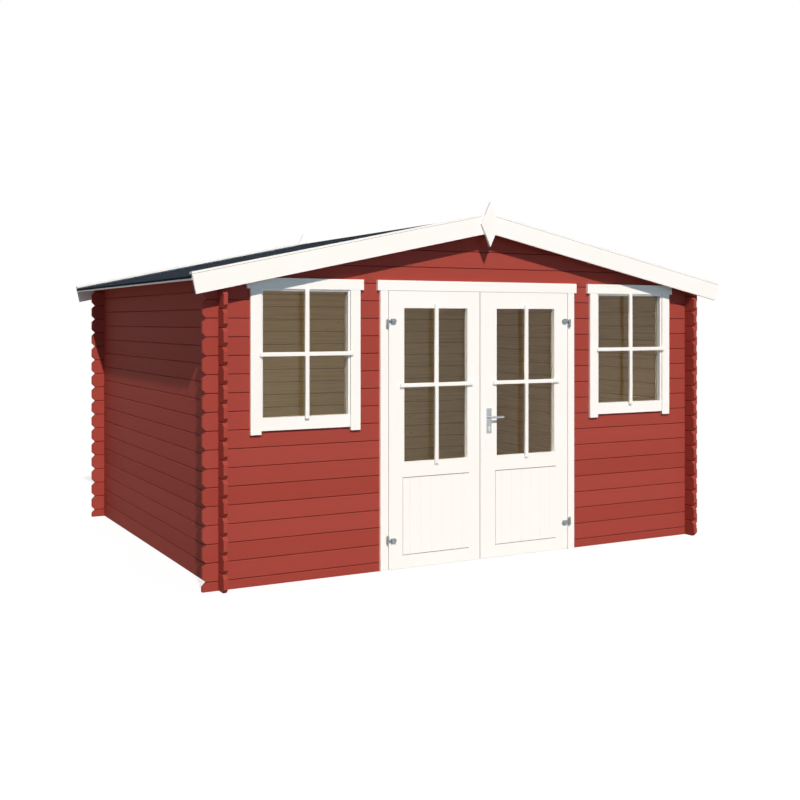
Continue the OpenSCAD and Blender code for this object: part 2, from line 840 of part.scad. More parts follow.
window_frame(1);  // right_window_frame
window_glass();
door_leaf(-1);  // left_door_frame
door_panel(-1);  // left_door_panel
door_glass(-1);  // left_door_glass
door_hinges(-1);  // left_door_hinges
door_leaf(1);  // right_door_frame
door_panel(1);  // right_door_panel
door_glass(1);  // right_door_glass
door_hinges(1);  // right_door_hinges
hinge_pins();
lock_plates();
lock_cylinder();
lever_handle();
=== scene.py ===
import math

import bmesh
import bpy
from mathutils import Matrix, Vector, noise


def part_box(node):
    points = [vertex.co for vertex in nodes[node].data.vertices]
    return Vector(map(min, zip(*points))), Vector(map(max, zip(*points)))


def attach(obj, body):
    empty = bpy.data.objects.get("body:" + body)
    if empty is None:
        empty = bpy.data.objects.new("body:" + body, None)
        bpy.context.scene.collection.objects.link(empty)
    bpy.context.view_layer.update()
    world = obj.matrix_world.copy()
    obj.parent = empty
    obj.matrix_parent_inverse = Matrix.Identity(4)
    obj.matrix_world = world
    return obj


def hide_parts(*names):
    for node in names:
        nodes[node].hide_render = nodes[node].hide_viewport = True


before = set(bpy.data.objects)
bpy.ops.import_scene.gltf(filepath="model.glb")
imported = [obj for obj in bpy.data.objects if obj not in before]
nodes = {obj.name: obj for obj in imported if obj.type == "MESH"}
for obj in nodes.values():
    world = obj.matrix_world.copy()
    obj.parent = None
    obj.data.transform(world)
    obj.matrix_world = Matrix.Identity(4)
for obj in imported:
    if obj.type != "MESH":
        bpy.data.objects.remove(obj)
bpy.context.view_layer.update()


# Log walls: spruce boards 28 mm thick and 115 mm from joint to joint, tongued onto each other and
# crossed at the corners in sawn notches. Two brushed coats of red paint cover the outside and the free
# log ends, and the indoor faces are left bare.
LOG_HEIGHT = 0.115
LOG_RED = "#9F4338"
LOG_RED_WORN = "#A5483E"
JOINT_SHADOW = "#2E1512"
LATE_WOOD = "#B58F58"
EARLY_WOOD = "#D3B685"
KNOT_BROWN = "#9A7242"
ALONG_X = (0.0, 0.0, 0.0)
ALONG_Y = (0.0, 0.0, math.radians(90))
ALONG_Z = (0.0, math.radians(90), 0.0)
wall_low, wall_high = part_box("left_wall")
back_low, back_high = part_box("back_wall")


def linear(hex_colour):
    """A colour written as sRGB hex, as the linear RGBA that a shader takes."""
    channels = []
    for start in (1, 3, 5):
        share = int(hex_colour[start:start + 2], 16) / 255
        channels.append(share / 12.92 if share <= 0.04045 else ((share + 0.055) / 1.055) ** 2.4)
    return (*channels, 1.0)


def add(tree, kind, inputs=None, stops=None, **settings):
    """Adds a node. Its inputs, by identifier, take values, sockets or nodes; a ramp takes its stops."""
    node = tree.nodes.new(kind)
    for setting, value in settings.items():
        setattr(node, setting, value)
    sockets = {socket.identifier: socket for socket in node.inputs}
    for identifier, value in (inputs or {}).items():
        source = value.outputs[0] if isinstance(value, bpy.types.Node) else value
        if isinstance(source, bpy.types.NodeSocket):
            tree.links.new(source, sockets[identifier])
        else:
            sockets[identifier].default_value = source
    if stops:
        ramp = node.color_ramp.elements
        while len(ramp) < len(stops):
            ramp.new(0.5)
        for element, (position, hex_colour) in zip(ramp, stops):
            element.position = position
            element.color = linear(hex_colour)
    return node


def start_material(name):
    """A material with an empty node tree."""
    material = bpy.data.materials.new(name)
    material.use_nodes = True
    material.node_tree.nodes.clear()
    return material, material.node_tree


def object_axes(tree):
    """Where a point lies on its piece, as a vector and as the three axes of it."""
    place = add(tree, "ShaderNodeTexCoord").outputs["Object"]
    return place, add(tree, "ShaderNodeSeparateXYZ", {"Vector": place}).outputs


def end_material(tree, colour, height, relief, values):
    """Ends a material with its surface, and a relief=(strength, depth in metres) from a height."""
    bump = add(tree, "ShaderNodeBump", {"Strength": relief[0], "Distance": relief[1], "Height": height})
    surface = add(tree, "ShaderNodeBsdfPrincipled", {**values, "Base Color": colour, "Normal": bump})
    surface.name = "surface"
    add(tree, "ShaderNodeOutputMaterial", {"Surface": surface})


def spruce_grain(tree, place, turn, board):
    """Sawn spruce along one axis, each board with its own stretch of grain: colour, height and tone."""
    chance = add(tree, "ShaderNodeTexWhiteNoise", {"W": board}, noise_dimensions="1D")
    moved = add(
        tree, "ShaderNodeVectorMath",
        {"Vector": chance.outputs["Color"], "Vector_001": (7.0, 7.0, 7.0), "Vector_002": place},
        operation="MULTIPLY_ADD",
    )
    # Yearly rings are 2 to 3 mm apart; they are drawn 7 mm apart and 0.9 m long, so that they show.
    rings = add(
        tree, "ShaderNodeMapping",
        {"Vector": moved, "Rotation": turn, "Scale": (0.9, 0.007, 0.007)}, vector_type="TEXTURE",
    )
    growth = add(
        tree, "ShaderNodeTexNoise",
        {"Vector": rings, "Scale": 1.0, "Detail": 3.0, "Roughness": 0.6, "Distortion": 0.5},
    )
    wood = add(
        tree, "ShaderNodeValToRGB", {"Fac": growth},
        stops=[(0.32, LATE_WOOD), (0.5, EARLY_WOOD), (0.75, LATE_WOOD)],
    )
    # Knots are 10 to 20 mm across and sit in about one in six patches of 110 mm.
    knots = add(tree, "ShaderNodeTexVoronoi", {"Vector": moved, "Scale": 9.0})
    distance = knots.outputs["Distance"]
    near = add(
        tree, "ShaderNodeMapRange",
        {"Value": distance, "From Min": 0.06, "From Max": 0.12, "To Min": 0.8, "To Max": 0.0},
    )
    pick = add(tree, "ShaderNodeSeparateColor", {"Color": knots.outputs["Color"]})
    chosen = add(tree, "ShaderNodeMath", {"Value": pick, "Value_001": 0.84}, operation="GREATER_THAN")
    knot = add(tree, "ShaderNodeMath", {"Value": near, "Value_001": chosen}, operation="MULTIPLY")
    colour = add(
        tree, "ShaderNodeMix",
        {"Factor_Float": knot, "A_Color": wood, "B_Color": linear(KNOT_BROWN)}, data_type="RGBA",
    )
    return colour.outputs[2], growth, chance.outputs["Value"]


def board_number(tree, distance, width):
    """How many whole boards of one width lie before a distance across them."""
    boards = add(tree, "ShaderNodeMath", {"Value": distance, "Value_001": width}, operation="DIVIDE")
    return add(tree, "ShaderNodeMath", {"Value": boards}, operation="FLOOR")


def colour_over(tree, mask, colour):
    """Puts a colour, as a hex value or from a node, over a material's own where the mask is 1."""
    base = tree.nodes["surface"].inputs["Base Color"]
    top = linear(colour) if isinstance(colour, str) else colour
    mixed = add(
        tree, "ShaderNodeMix",
        {"Factor_Float": mask, "A_Color": base.links[0].from_socket, "B_Color": top}, data_type="RGBA",
    )
    tree.links.new(mixed.outputs[2], base)


def painted_logs(name, turn, first_joint):
    """Weathered red paint, dull and a little patchy, on boards along one axis. Indoors they are bare."""
    material, tree = start_material(name)
    place, axes = object_axes(tree)
    above = add(
        tree, "ShaderNodeMath", {"Value": axes["Z"], "Value_001": first_joint}, operation="SUBTRACT",
    )
    board = board_number(tree, above, LOG_HEIGHT)
    wood, height, tone = spruce_grain(tree, place, turn, board)
    # Brush laps: patches some 300 mm long and 40 mm high where the coat is a shade thinner.
    laps = add(
        tree, "ShaderNodeMapping",
        {"Vector": place, "Rotation": turn, "Scale": (0.3, 0.04, 0.04)}, vector_type="TEXTURE",
    )
    coat = add(tree, "ShaderNodeTexNoise", {"Vector": laps, "Scale": 1.0, "Detail": 2.0})
    mixed = add(
        tree, "ShaderNodeMath",
        {"Value": coat, "Value_001": 0.5, "Value_002": tone}, operation="MULTIPLY_ADD",
    )
    share = add(tree, "ShaderNodeMapRange", {"Value": mixed, "From Min": 0.2, "From Max": 1.3})
    paint = add(
        tree, "ShaderNodeMix",
        {"Factor_Float": share, "A_Color": linear(LOG_RED), "B_Color": linear(LOG_RED_WORN)},
        data_type="RGBA",
    )
    # The paint ends half way through the walls' thickness, seen from above.
    half_x = -(wall_low.x + wall_high.x) / 2
    half_y = (back_low.y + back_high.y) / 2
    inside = []
    for axis, half in (("X", half_x), ("Y", half_y)):
        distance = add(tree, "ShaderNodeMath", {"Value": axes[axis]}, operation="ABSOLUTE")
        inside.append(add(
            tree, "ShaderNodeMath", {"Value": distance, "Value_001": half}, operation="LESS_THAN",
        ))
    indoors = add(
        tree, "ShaderNodeMath", {"Value": inside[0], "Value_001": inside[1]}, operation="MULTIPLY",
    )
    rough = add(tree, "ShaderNodeMapRange", {"Value": indoors, "To Min": 0.65, "To Max": 0.72})
    end_material(
        tree, paint.outputs[2], height, relief=(0.25, 0.0006),
        values={"Roughness": rough, "IOR": 1.48, "Specular IOR Level": 0.05},
    )
    colour_over(tree, indoors, wood)
    # Where two boards meet, at the foot of the V groove, the open joint is a dark line 2 to 3 mm wide.
    to_joint = add(
        tree, "ShaderNodeMath", {"Value": above, "Value_001": LOG_HEIGHT / 2}, operation="PINGPONG",
    )
    open_joint = add(
        tree, "ShaderNodeMapRange",
        {"Value": to_joint, "From Min": 0.0011, "From Max": 0.0019, "To Min": 0.85, "To Max": 0.0},
    )
    colour_over(tree, open_joint, JOINT_SHADOW)
    return material


def finish_nodes(material, *names):
    """Gives CAD nodes their finish."""
    for name in names:
        nodes[name].material_slots[0].material = material


finish_nodes(
    painted_logs("red_paint_on_front_and_back_logs", ALONG_X, LOG_HEIGHT / 2),
    "front_logs_lower_left", "front_logs_lower_right", "front_logs_corner_left",
    "front_logs_corner_right", "front_logs_pier_left", "front_logs_pier_right",
    "front_gable", "back_wall",
)
finish_nodes(painted_logs("red_paint_on_side_logs", ALONG_Y, 0.0), "left_wall", "right_wall")


# Purlins: three planed spruce beams, left bare. They run from gable to gable in sawn holes and stop
# behind the barge boards.
PURLIN_SPACING = 0.4


def bare_spruce(name, turn, board_width, board_axis):
    """Planed, untreated spruce along one axis, its boards laid along another: dull honey brown."""
    material, tree = start_material(name)
    place, axes = object_axes(tree)
    board = board_number(tree, axes[board_axis], board_width)
    # Both slopes of the roof fall away from the middle, so the grain is laid on mirrored halves.
    halves = add(tree, "ShaderNodeVectorMath", {"Vector": place}, operation="ABSOLUTE")
    wood, height, tone = spruce_grain(tree, halves, turn, board)
    lightness = add(tree, "ShaderNodeMapRange", {"Value": tone, "To Min": 0.88, "To Max": 1.06})
    colour = add(tree, "ShaderNodeHueSaturation", {"Value": lightness, "Color": wood})
    end_material(
        tree, colour, height, relief=(0.3, 0.0005),
        values={"Roughness": 0.68, "IOR": 1.48, "Specular IOR Level": 0.2},
    )
    return material


purlin_spruce = bare_spruce("planed_spruce_purlins", ALONG_Y, PURLIN_SPACING, "X")
finish_nodes(purlin_spruce, "ridge_purlin", "side_purlins")


# Door frame: spruce jambs and head, grooved over the log ends and painted satin white on the outside,
# with a bare sill housed between the jambs. The head boards cover the settling gap over the openings.
TRIM_WHITE = "#FCFAF4"
TRIM_WHITE_SHADE = "#F9F5EC"
SILL_BOARD = 0.5


def white_paint(name, turn, rails=None):
    """Satin white paint with a soft sheen, brushed along one axis, or along X on rails=(middle, half)."""
    material, tree = start_material(name)
    place = add(tree, "ShaderNodeTexCoord").outputs["Object"]
    halves = add(tree, "ShaderNodeVectorMath", {"Vector": place}, operation="ABSOLUTE")
    # Bristle marks are under 1 mm apart; they are drawn 3 mm apart and 200 mm long, so that they show.
    marks = []
    for direction in (turn, ALONG_X):
        stroke = add(
            tree, "ShaderNodeMapping",
            {"Vector": halves, "Rotation": direction, "Scale": (0.2, 0.003, 0.003)},
            vector_type="TEXTURE",
        )
        marks.append(add(
            tree, "ShaderNodeTexNoise", {"Vector": stroke, "Scale": 1.0, "Detail": 2.0},
        ))
    height = marks[0]
    if rails:
        axes = add(tree, "ShaderNodeSeparateXYZ", {"Vector": halves}).outputs
        on_rail = add(
            tree, "ShaderNodeMath",
            {"Value": axes["X"], "Value_001": rails[0], "Value_002": rails[1]}, operation="COMPARE",
        )
        height = add(
            tree, "ShaderNodeMix", {"Factor_Float": on_rail, "A_Float": marks[0], "B_Float": marks[1]},
        )
    patches = add(tree, "ShaderNodeTexNoise", {"Vector": place, "Scale": 3.0, "Detail": 2.0})
    colour = add(
        tree, "ShaderNodeMix",
        {"Factor_Float": patches, "A_Color": linear(TRIM_WHITE), "B_Color": linear(TRIM_WHITE_SHADE)},
        data_type="RGBA",
    )
    rough = add(tree, "ShaderNodeMapRange", {"Value": height, "To Min": 0.36, "To Max": 0.46})
    end_material(
        tree, colour.outputs[2], height, relief=(0.12, 0.0004),
        values={"Roughness": rough, "IOR": 1.5, "Specular IOR Level": 0.2},
    )
    return material


white_upright = white_paint("satin_white_on_uprights", ALONG_Z)
white_level = white_paint("satin_white_on_level_boards", ALONG_X)
finish_nodes(white_upright, "door_jamb_left", "door_jamb_right")
finish_nodes(white_level, "door_head", "head_boards")
finish_nodes(bare_spruce("planed_spruce_sill", ALONG_X, SILL_BOARD, "Z"), "door_threshold")


# Windows: spruce frames painted like the door frame, bare behind the pane, with one fixed pane each.
# A loose cross of glazing bars is pinned on the front of each.
WINDOW_X = 1.318
WINDOW_RAIL_HALF = 0.304
WINDOW_REVEAL = 0.030
PAINT_EDGE = 0.001
# Painted shade: the grey that the paint takes in a window's reveal before the pane.
REVEAL_SHADE_WHITE = "#D4D4D2"
GLASS_BODY = "#F4F7F3"
GLASS_SHADOW = "#EEF4EF"
SEAM_OFFSET = 0.308
SEAM_HALF_WIDTH = 0.0014
# The grey of a painted shadow line on the right of each window.
SEAM_SHADOW_GREY = "#AEAFAD"


def bare_past(tree, axes, level_y, wood):
    """Leaves the wood unpainted past a level, towards the room."""
    past = add(
        tree, "ShaderNodeMath", {"Value": axes["Y"], "Value_001": level_y}, operation="GREATER_THAN",
    )
    colour_over(tree, past, wood)


def reveal_finish(material, pane, frame_name, depth, reveal_shade_colour):
    """Bares a painted frame behind its pane, and paints shade on the reveal's bare wood and on the paint
    before it.
    """
    tree = material.node_tree
    place, axes = object_axes(tree)
    piece = add(tree, "ShaderNodeMath", {"Value": axes["X"]}, operation="SIGN")
    wood = spruce_grain(tree, place, ALONG_Z, piece)[0]
    # Painted shade: the bare wood in the reveal behind the pane is darkened.
    shaded_wood = add(tree, "ShaderNodeHueSaturation", {"Saturation": 0.4, "Value": 0.55, "Color": wood})
    pane_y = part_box(pane)[0].y
    half = (depth + PAINT_EDGE) / 2
    # Painted shade on the paint in the reveal before the pane.
    before = add(
        tree, "ShaderNodeMath",
        {"Value": axes["Y"], "Value_001": pane_y - depth + half, "Value_002": half}, operation="COMPARE",
    )
    colour_over(tree, before, reveal_shade_colour)
    bare_past(tree, axes, pane_y + PAINT_EDGE, shaded_wood)
    bare_past(tree, axes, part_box(frame_name)[1].y - PAINT_EDGE, wood)


def clear_glass(name):
    """Float glass: a faint green body with little mirroring. Lamp light passes straight through."""
    material, tree = start_material(name)
    # Real glass has an IOR of 1.52; it is lowered, as one sheet of a thin pane mirrors too much sky.
    pane = add(
        tree, "ShaderNodeBsdfPrincipled",
        {"Base Color": linear(GLASS_BODY), "Roughness": 0.0, "IOR": 1.35, "Transmission Weight": 1.0},
    )
    clear = add(tree, "ShaderNodeBsdfTransparent", {"Color": linear(GLASS_SHADOW)})
    path = add(tree, "ShaderNodeLightPath")
    mixed = add(
        tree, "ShaderNodeMixShader",
        {"Fac": path.outputs["Is Shadow Ray"], "Shader": pane, "Shader_001": clear},
    )
    add(tree, "ShaderNodeOutputMaterial", {"Surface": mixed})
    return material


pane_glass = clear_glass("float_glass")
window_white = white_paint("satin_white_on_window_frames", ALONG_Z, rails=(WINDOW_X, WINDOW_RAIL_HALF))
reveal_finish(window_white, "window_glass", "left_window_frame", WINDOW_REVEAL, REVEAL_SHADE_WHITE)
# A thin painted shadow line marks the seam between the loose glazing strip and the casing on the right of
# each window.
tree = window_white.node_tree
place, axes = object_axes(tree)
aside = add(tree, "ShaderNodeMath", {"Value": axes["X"], "Value_001": SEAM_OFFSET}, operation="SUBTRACT")
outward = add(tree, "ShaderNodeMath", {"Value": aside}, operation="ABSOLUTE")
seam_shadow = add(
    tree, "ShaderNodeMath",
    {"Value": outward, "Value_001": WINDOW_X, "Value_002": SEAM_HALF_WIDTH}, operation="COMPARE",
)
colour_over(tree, seam_shadow, SEAM_SHADOW_GREY)
finish_nodes(window_white, "left_window_frame", "right_window_frame")
finish_nodes(pane_glass, "window_glass")

BAR_DEPTH = 0.016
BAR_EDGE = 0.001
BAR_WIDTH = 0.026
BAR_SEAT = 0.0003
LEFT_BAR_ASIDE = -0.0028
RIGHT_BAR_ASIDE = -0.0080
WINDOW_BAR_FOOT = 1.032
WINDOW_BAR_TOP = 1.852
WINDOW_BAR_HALF = 0.321
WINDOW_BAR_HEIGHT = 1.4428
BAR_PIN_RADIUS = 0.0025
BAR_PIN_LENGTH = 0.024
BAR_PIN_INSET = 0.007
# A bar's sawn end with its arris taken off: distance from the tip, and the share of the section.
BAR_NOSE = ((0.0, 0.93), (0.0008, 1.0))


def start_shape(name, sizes):
    """A Geometry Nodes tree with a geometry socket and one named input for each size."""
    tree = bpy.data.node_groups.new(name, "GeometryNodeTree")
    for label, kind in {"Geometry": "Geometry", **sizes}.items():
        tree.interface.new_socket(label, in_out="INPUT", socket_type="NodeSocket" + kind)
    tree.interface.new_socket("Geometry", in_out="OUTPUT", socket_type="NodeSocketGeometry")
    return tree, tree.nodes.new("NodeGroupInput").outputs


def end_shape(tree, geometry, finish):
    """Ends a tree: instances made real, with their material."""
    real = add(tree, "GeometryNodeRealizeInstances", {"Geometry": geometry})
    done = add(tree, "GeometryNodeSetMaterial", {"Geometry": real, "Material": finish})
    result = tree.nodes.new("NodeGroupOutput")
    tree.links.new(done.outputs[0], result.inputs[0])


def put(name, data):
    """A new object with this data, in the scene."""
    thing = bpy.data.objects.new(name, data)
    bpy.context.scene.collection.objects.link(thing)
    return thing


def grow(name, base, tree, sizes):
    """Runs a tree over a base mesh with these sizes, and gives the result as a plain mesh object."""
    piece = put(name, base)
    modifier = piece.modifiers.new(name, "NODES")
    modifier.node_group = tree
    for socket in tree.interface.items_tree:
        if socket.in_out == "INPUT" and socket.name in sizes:
            modifier[socket.identifier] = sizes[socket.name]
    bpy.context.view_layer.update()
    shaped = piece.evaluated_get(bpy.context.evaluated_depsgraph_get())
    result = bpy.data.meshes.new_from_object(shaped)
    piece.modifiers.remove(modifier)
    piece.data = result
    result.name = name
    return piece


def glazing_bar_tree():
    """Bars along the base mesh's lines, thinned by "nose", with a pin at each point where "pin" is 1."""
    tree, size = start_shape("glazing_bars", {
        "Width": "Float", "Depth": "Float", "Edge Radius": "Float", "Pin Radius": "Float",
        "Pin Length": "Float", "Pin Reach": "Vector", "Finish": "Material",
    })
    lines = add(tree, "GeometryNodeMeshToCurve", {"Mesh": size["Geometry"]})
    facing = add(
        tree, "GeometryNodeSetCurveNormal", {"Curve": lines, "Normal": (0.0, -1.0, 0.0)}, mode="FREE",
    )
    section = add(
        tree, "GeometryNodeCurvePrimitiveQuadrilateral",
        {"Width": size["Depth"], "Height": size["Width"]},
    )
    rounded = add(
        tree, "GeometryNodeFilletCurve",
        {"Curve": section, "Radius": size["Edge Radius"], "Count": 3}, mode="POLY",
    )
    nose = add(tree, "GeometryNodeInputNamedAttribute", {"Name": "nose"}, data_type="FLOAT")
    bars = add(
        tree, "GeometryNodeCurveToMesh",
        {"Curve": facing, "Profile Curve": rounded, "Scale": nose, "Fill Caps": True},
    )
    pin = add(
        tree, "GeometryNodeMeshCylinder",
        {"Vertices": 12, "Radius": size["Pin Radius"], "Depth": size["Pin Length"]},
    )
    driven = add(tree, "GeometryNodeTransform", {"Geometry": pin, "Translation": size["Pin Reach"]})
    pinned = add(tree, "GeometryNodeInputNamedAttribute", {"Name": "pin"}, data_type="BOOLEAN")
    pins = add(tree, "GeometryNodeInstanceOnPoints", {
        "Points": size["Geometry"], "Selection": pinned, "Instance": driven,
        "Rotation": (math.radians(90), 0.0, 0.0),
    })
    real_pins = add(tree, "GeometryNodeRealizeInstances", {"Geometry": pins})
    cross = add(
        tree, "GeometryNodeMeshBoolean",
        {"Mesh 2": bars, "Self Intersection": True}, operation="UNION", solver="EXACT",
    )
    tree.links.new(real_pins.outputs[0], cross.inputs["Mesh 2"])
    end_shape(tree, cross, size["Finish"])
    return tree


def cross_lines(name, front_y, upright, level):
    """Centre lines of an upright bar (x, foot, top) and a level bar (middle, half, z) on a frame."""
    bar_y = front_y - BAR_DEPTH / 2 + BAR_SEAT
    x, foot, top = upright
    middle, half, z = level
    base = bpy.data.meshes.new(name)
    points, edges, noses, pins = [], [], [], []
    for ends in (((x, foot), (x, top)), ((middle - half, z), (middle + half, z))):
        start, end = (Vector((across, bar_y, height)) for across, height in ends)
        along = (end - start).normalized()
        length = (end - start).length
        stations = [*BAR_NOSE, (BAR_PIN_INSET, 1.0)]
        stations += [(length - distance, share) for distance, share in reversed(stations)]
        first = len(points)
        for index, (distance, share) in enumerate(stations):
            points.append(start + along * distance)
            noses.append(share)
            pins.append(index in (len(BAR_NOSE), len(BAR_NOSE) + 1))
        edges += [(k, k + 1) for k in range(first, len(points) - 1)]
    base.from_pydata(points, edges, [])
    base.attributes.new("nose", "FLOAT", "POINT").data.foreach_set("value", noses)
    base.attributes.new("pin", "BOOLEAN", "POINT").data.foreach_set("value", pins)
    return base


bar_tree = glazing_bar_tree()
bar_sizes = {
    "Width": BAR_WIDTH, "Depth": BAR_DEPTH, "Edge Radius": BAR_EDGE, "Pin Radius": BAR_PIN_RADIUS,
    "Pin Length": BAR_PIN_LENGTH, "Pin Reach": (0.0, 0.0, -BAR_PIN_LENGTH / 2), "Finish": white_upright,
}
for hand, aside in (("left", LEFT_BAR_ASIDE), ("right", RIGHT_BAR_ASIDE)):
    frame_low, frame_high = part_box(hand + "_window_frame")
    middle = (frame_low.x + frame_high.x) / 2
    lines = cross_lines(
        hand + "_window_bar_lines", frame_low.y,
        upright=(middle + aside, WINDOW_BAR_FOOT, WINDOW_BAR_TOP),
        level=(middle, WINDOW_BAR_HALF, WINDOW_BAR_HEIGHT),
    )
    bars = grow(hand + "_window_bars", lines, bar_tree, bar_sizes)
    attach(bars, "root")


# Roof boards: 36 planed spruce boards on each slope, 22 mm thick, laid side by side from ridge to
# eaves and nailed to the purlins and walls. Their lower edges are bevelled, and they stay bare.
ROOF_PITCH = math.radians(12.0)
DOWN_SLOPE = (0.0, ROOF_PITCH, 0.0)
ROOF_BOARD_COUNT = 36
ROOF_BOARD_THICKNESS = 0.022
ROOF_BOARD_BEVEL = 0.0035
ROOF_BOARD_GAP = 0.0003
RIDGE_GAP = 0.0002
boards_low, boards_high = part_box("roof_boards_right")
roof_board_width = (boards_high.y - boards_low.y) / ROOF_BOARD_COUNT
ridge_z = boards_high.z - ROOF_BOARD_THICKNESS / math.cos(ROOF_PITCH)


def roof_point(x, out):
    """Height of the roof over x, at a distance out from the underside of the boards."""
    return ridge_z - abs(x) * math.tan(ROOF_PITCH) + out / math.cos(ROOF_PITCH)


def closed_mesh(name, points, faces):
    """A mesh from points and faces, with the faces turned outwards."""
    shape = bmesh.new()
    corners = [shape.verts.new(point) for point in points]
    for face in faces:
        shape.faces.new([corners[index] for index in face])
    bmesh.ops.remove_doubles(shape, verts=shape.verts, dist=0.00001)
    bmesh.ops.recalc_face_normals(shape, faces=shape.faces)
    mesh = bpy.data.meshes.new(name)
    shape.to_mesh(mesh)
    shape.free()
    return mesh


def one_roof_board(name, side):
    """The first board of a slope, at the front gable."""
    low = boards_low.y + ROOF_BOARD_GAP
    high = boards_low.y + roof_board_width - ROOF_BOARD_GAP
    section = (
        (low, ROOF_BOARD_THICKNESS), (high, ROOF_BOARD_THICKNESS), (high, ROOF_BOARD_BEVEL),
        (high - ROOF_BOARD_BEVEL, 0.0), (low + ROOF_BOARD_BEVEL, 0.0), (low, ROOF_BOARD_BEVEL),
    )
    points = [(side * x, y, roof_point(x, out)) for x in (RIDGE_GAP, boards_high.x) for y, out in section]
    count = len(section)
    faces = [list(range(count)), list(range(count, 2 * count))]
    faces += [[k, (k + 1) % count, (k + 1) % count + count, k + count] for k in range(count)]
    return closed_mesh(name, points, faces)


def board_row_tree():
    """The base mesh repeated along a line."""
    tree, size = start_shape("board_row", {"Count": "Int", "Spacing": "Vector", "Finish": "Material"})
    row = add(
        tree, "GeometryNodeMeshLine",
        {"Count": size["Count"], "Offset": size["Spacing"]}, mode="OFFSET", count_mode="TOTAL",
    )
    laid = add(tree, "GeometryNodeInstanceOnPoints", {"Points": row, "Instance": size["Geometry"]})
    end_shape(tree, laid, size["Finish"])
    return tree


board_tree = board_row_tree()
roof_spruce = bare_spruce("planed_spruce_roof_boards", DOWN_SLOPE, roof_board_width, "Y")
for hand, side in (("left", -1), ("right", 1)):
    boarding = grow(
        hand + "_slope_boards", one_roof_board(hand + "_slope_board", side), board_tree,
        {"Count": ROOF_BOARD_COUNT, "Spacing": (0.0, roof_board_width, 0.0), "Finish": roof_spruce},
    )
    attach(boarding, "root")
    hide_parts("roof_boards_" + hand)


# Roofing felt: bitumen sheets 2.6 mm thick with slate granules, rolled out along the roof. Two lapped
# courses cover each slope, the lower one is turned down over the eaves, and a strip covers the ridge.
FELT_DARK = "#171F2A"
FELT_LIGHT = "#202935"
# Painted shade: the near black of the felt's turned-down edge.
FLAP_SHADE_BLACK = "#14181F"
FELT_THICKNESS = 0.0026
FELT_BED = 0.0221
FELT_LAP_GAP = 0.0001
FELT_LAP_OUT = FELT_BED + FELT_THICKNESS + FELT_LAP_GAP
LOWER_COURSE_TOP = 1.00
UPPER_COURSE_FOOT = 1.08
UPPER_COURSE_TOP = 0.21
UPPER_COURSE_EASE = 0.015
RIDGE_SHEET_EDGE = 0.30
RIDGE_CROWN = 0.013
RIDGE_CROWN_WIDTH = 0.09
RIDGE_BEND = 0.02
LAP_RUN_UP = 0.02
LAP_RISE = 0.012
FELT_FLAP = 0.0115
FLAP_GAP = 0.0004
FLAP_BEND = 0.0012
FLAP_START = 0.002
FELT_END_GAP = 0.0008
FELT_STATIONS = 80
FELT_WAVE = 0.0011
WAVES_DOWN = 2.2
WAVES_ALONG = 1.7
WAVES_APART = 5.0
LOWER_STEPS = 10
UPPER_STEPS = 8
strip_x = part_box("eaves_strips")[1].x
flap_x = strip_x + FLAP_GAP
flap_top = roof_point(strip_x, FELT_BED)


def mineral_felt(name):
    """Bitumen felt with slate granules: dull, dark blue-grey, speckled."""
    material, tree = start_material(name)
    place, axes = object_axes(tree)
    # Granules are 1 to 2 mm; they are drawn 5 mm across, so that they show.
    grit = add(tree, "ShaderNodeTexVoronoi", {"Vector": place, "Scale": 200.0})
    speck = add(tree, "ShaderNodeSeparateColor", {"Color": grit.outputs["Color"]})
    blotch = add(tree, "ShaderNodeTexNoise", {"Vector": place, "Scale": 2.0, "Detail": 3.0})
    mixed = add(
        tree, "ShaderNodeMath",
        {"Value": blotch, "Value_001": 0.6, "Value_002": speck}, operation="MULTIPLY_ADD",
    )
    share = add(tree, "ShaderNodeMapRange", {"Value": mixed, "From Max": 1.6})
    colour = add(
        tree, "ShaderNodeMix",
        {"Factor_Float": share, "A_Color": linear(FELT_DARK), "B_Color": linear(FELT_LIGHT)},
        data_type="RGBA",
    )
    end_material(
        tree, colour.outputs[2], grit.outputs["Distance"], relief=(0.5, 0.001),
        values={"Roughness": 0.92, "IOR": 1.45, "Specular IOR Level": 0.03},
    )
    # The turned-down edge is painted near black, as painted shade on its outward face.
    aside = add(tree, "ShaderNodeMath", {"Value": axes["X"]}, operation="ABSOLUTE")
    flap_shade = add(tree, "ShaderNodeMath", {"Value": aside, "Value_001": flap_x}, operation="GREATER_THAN")
    colour_over(tree, flap_shade, FLAP_SHADE_BLACK)
    return material


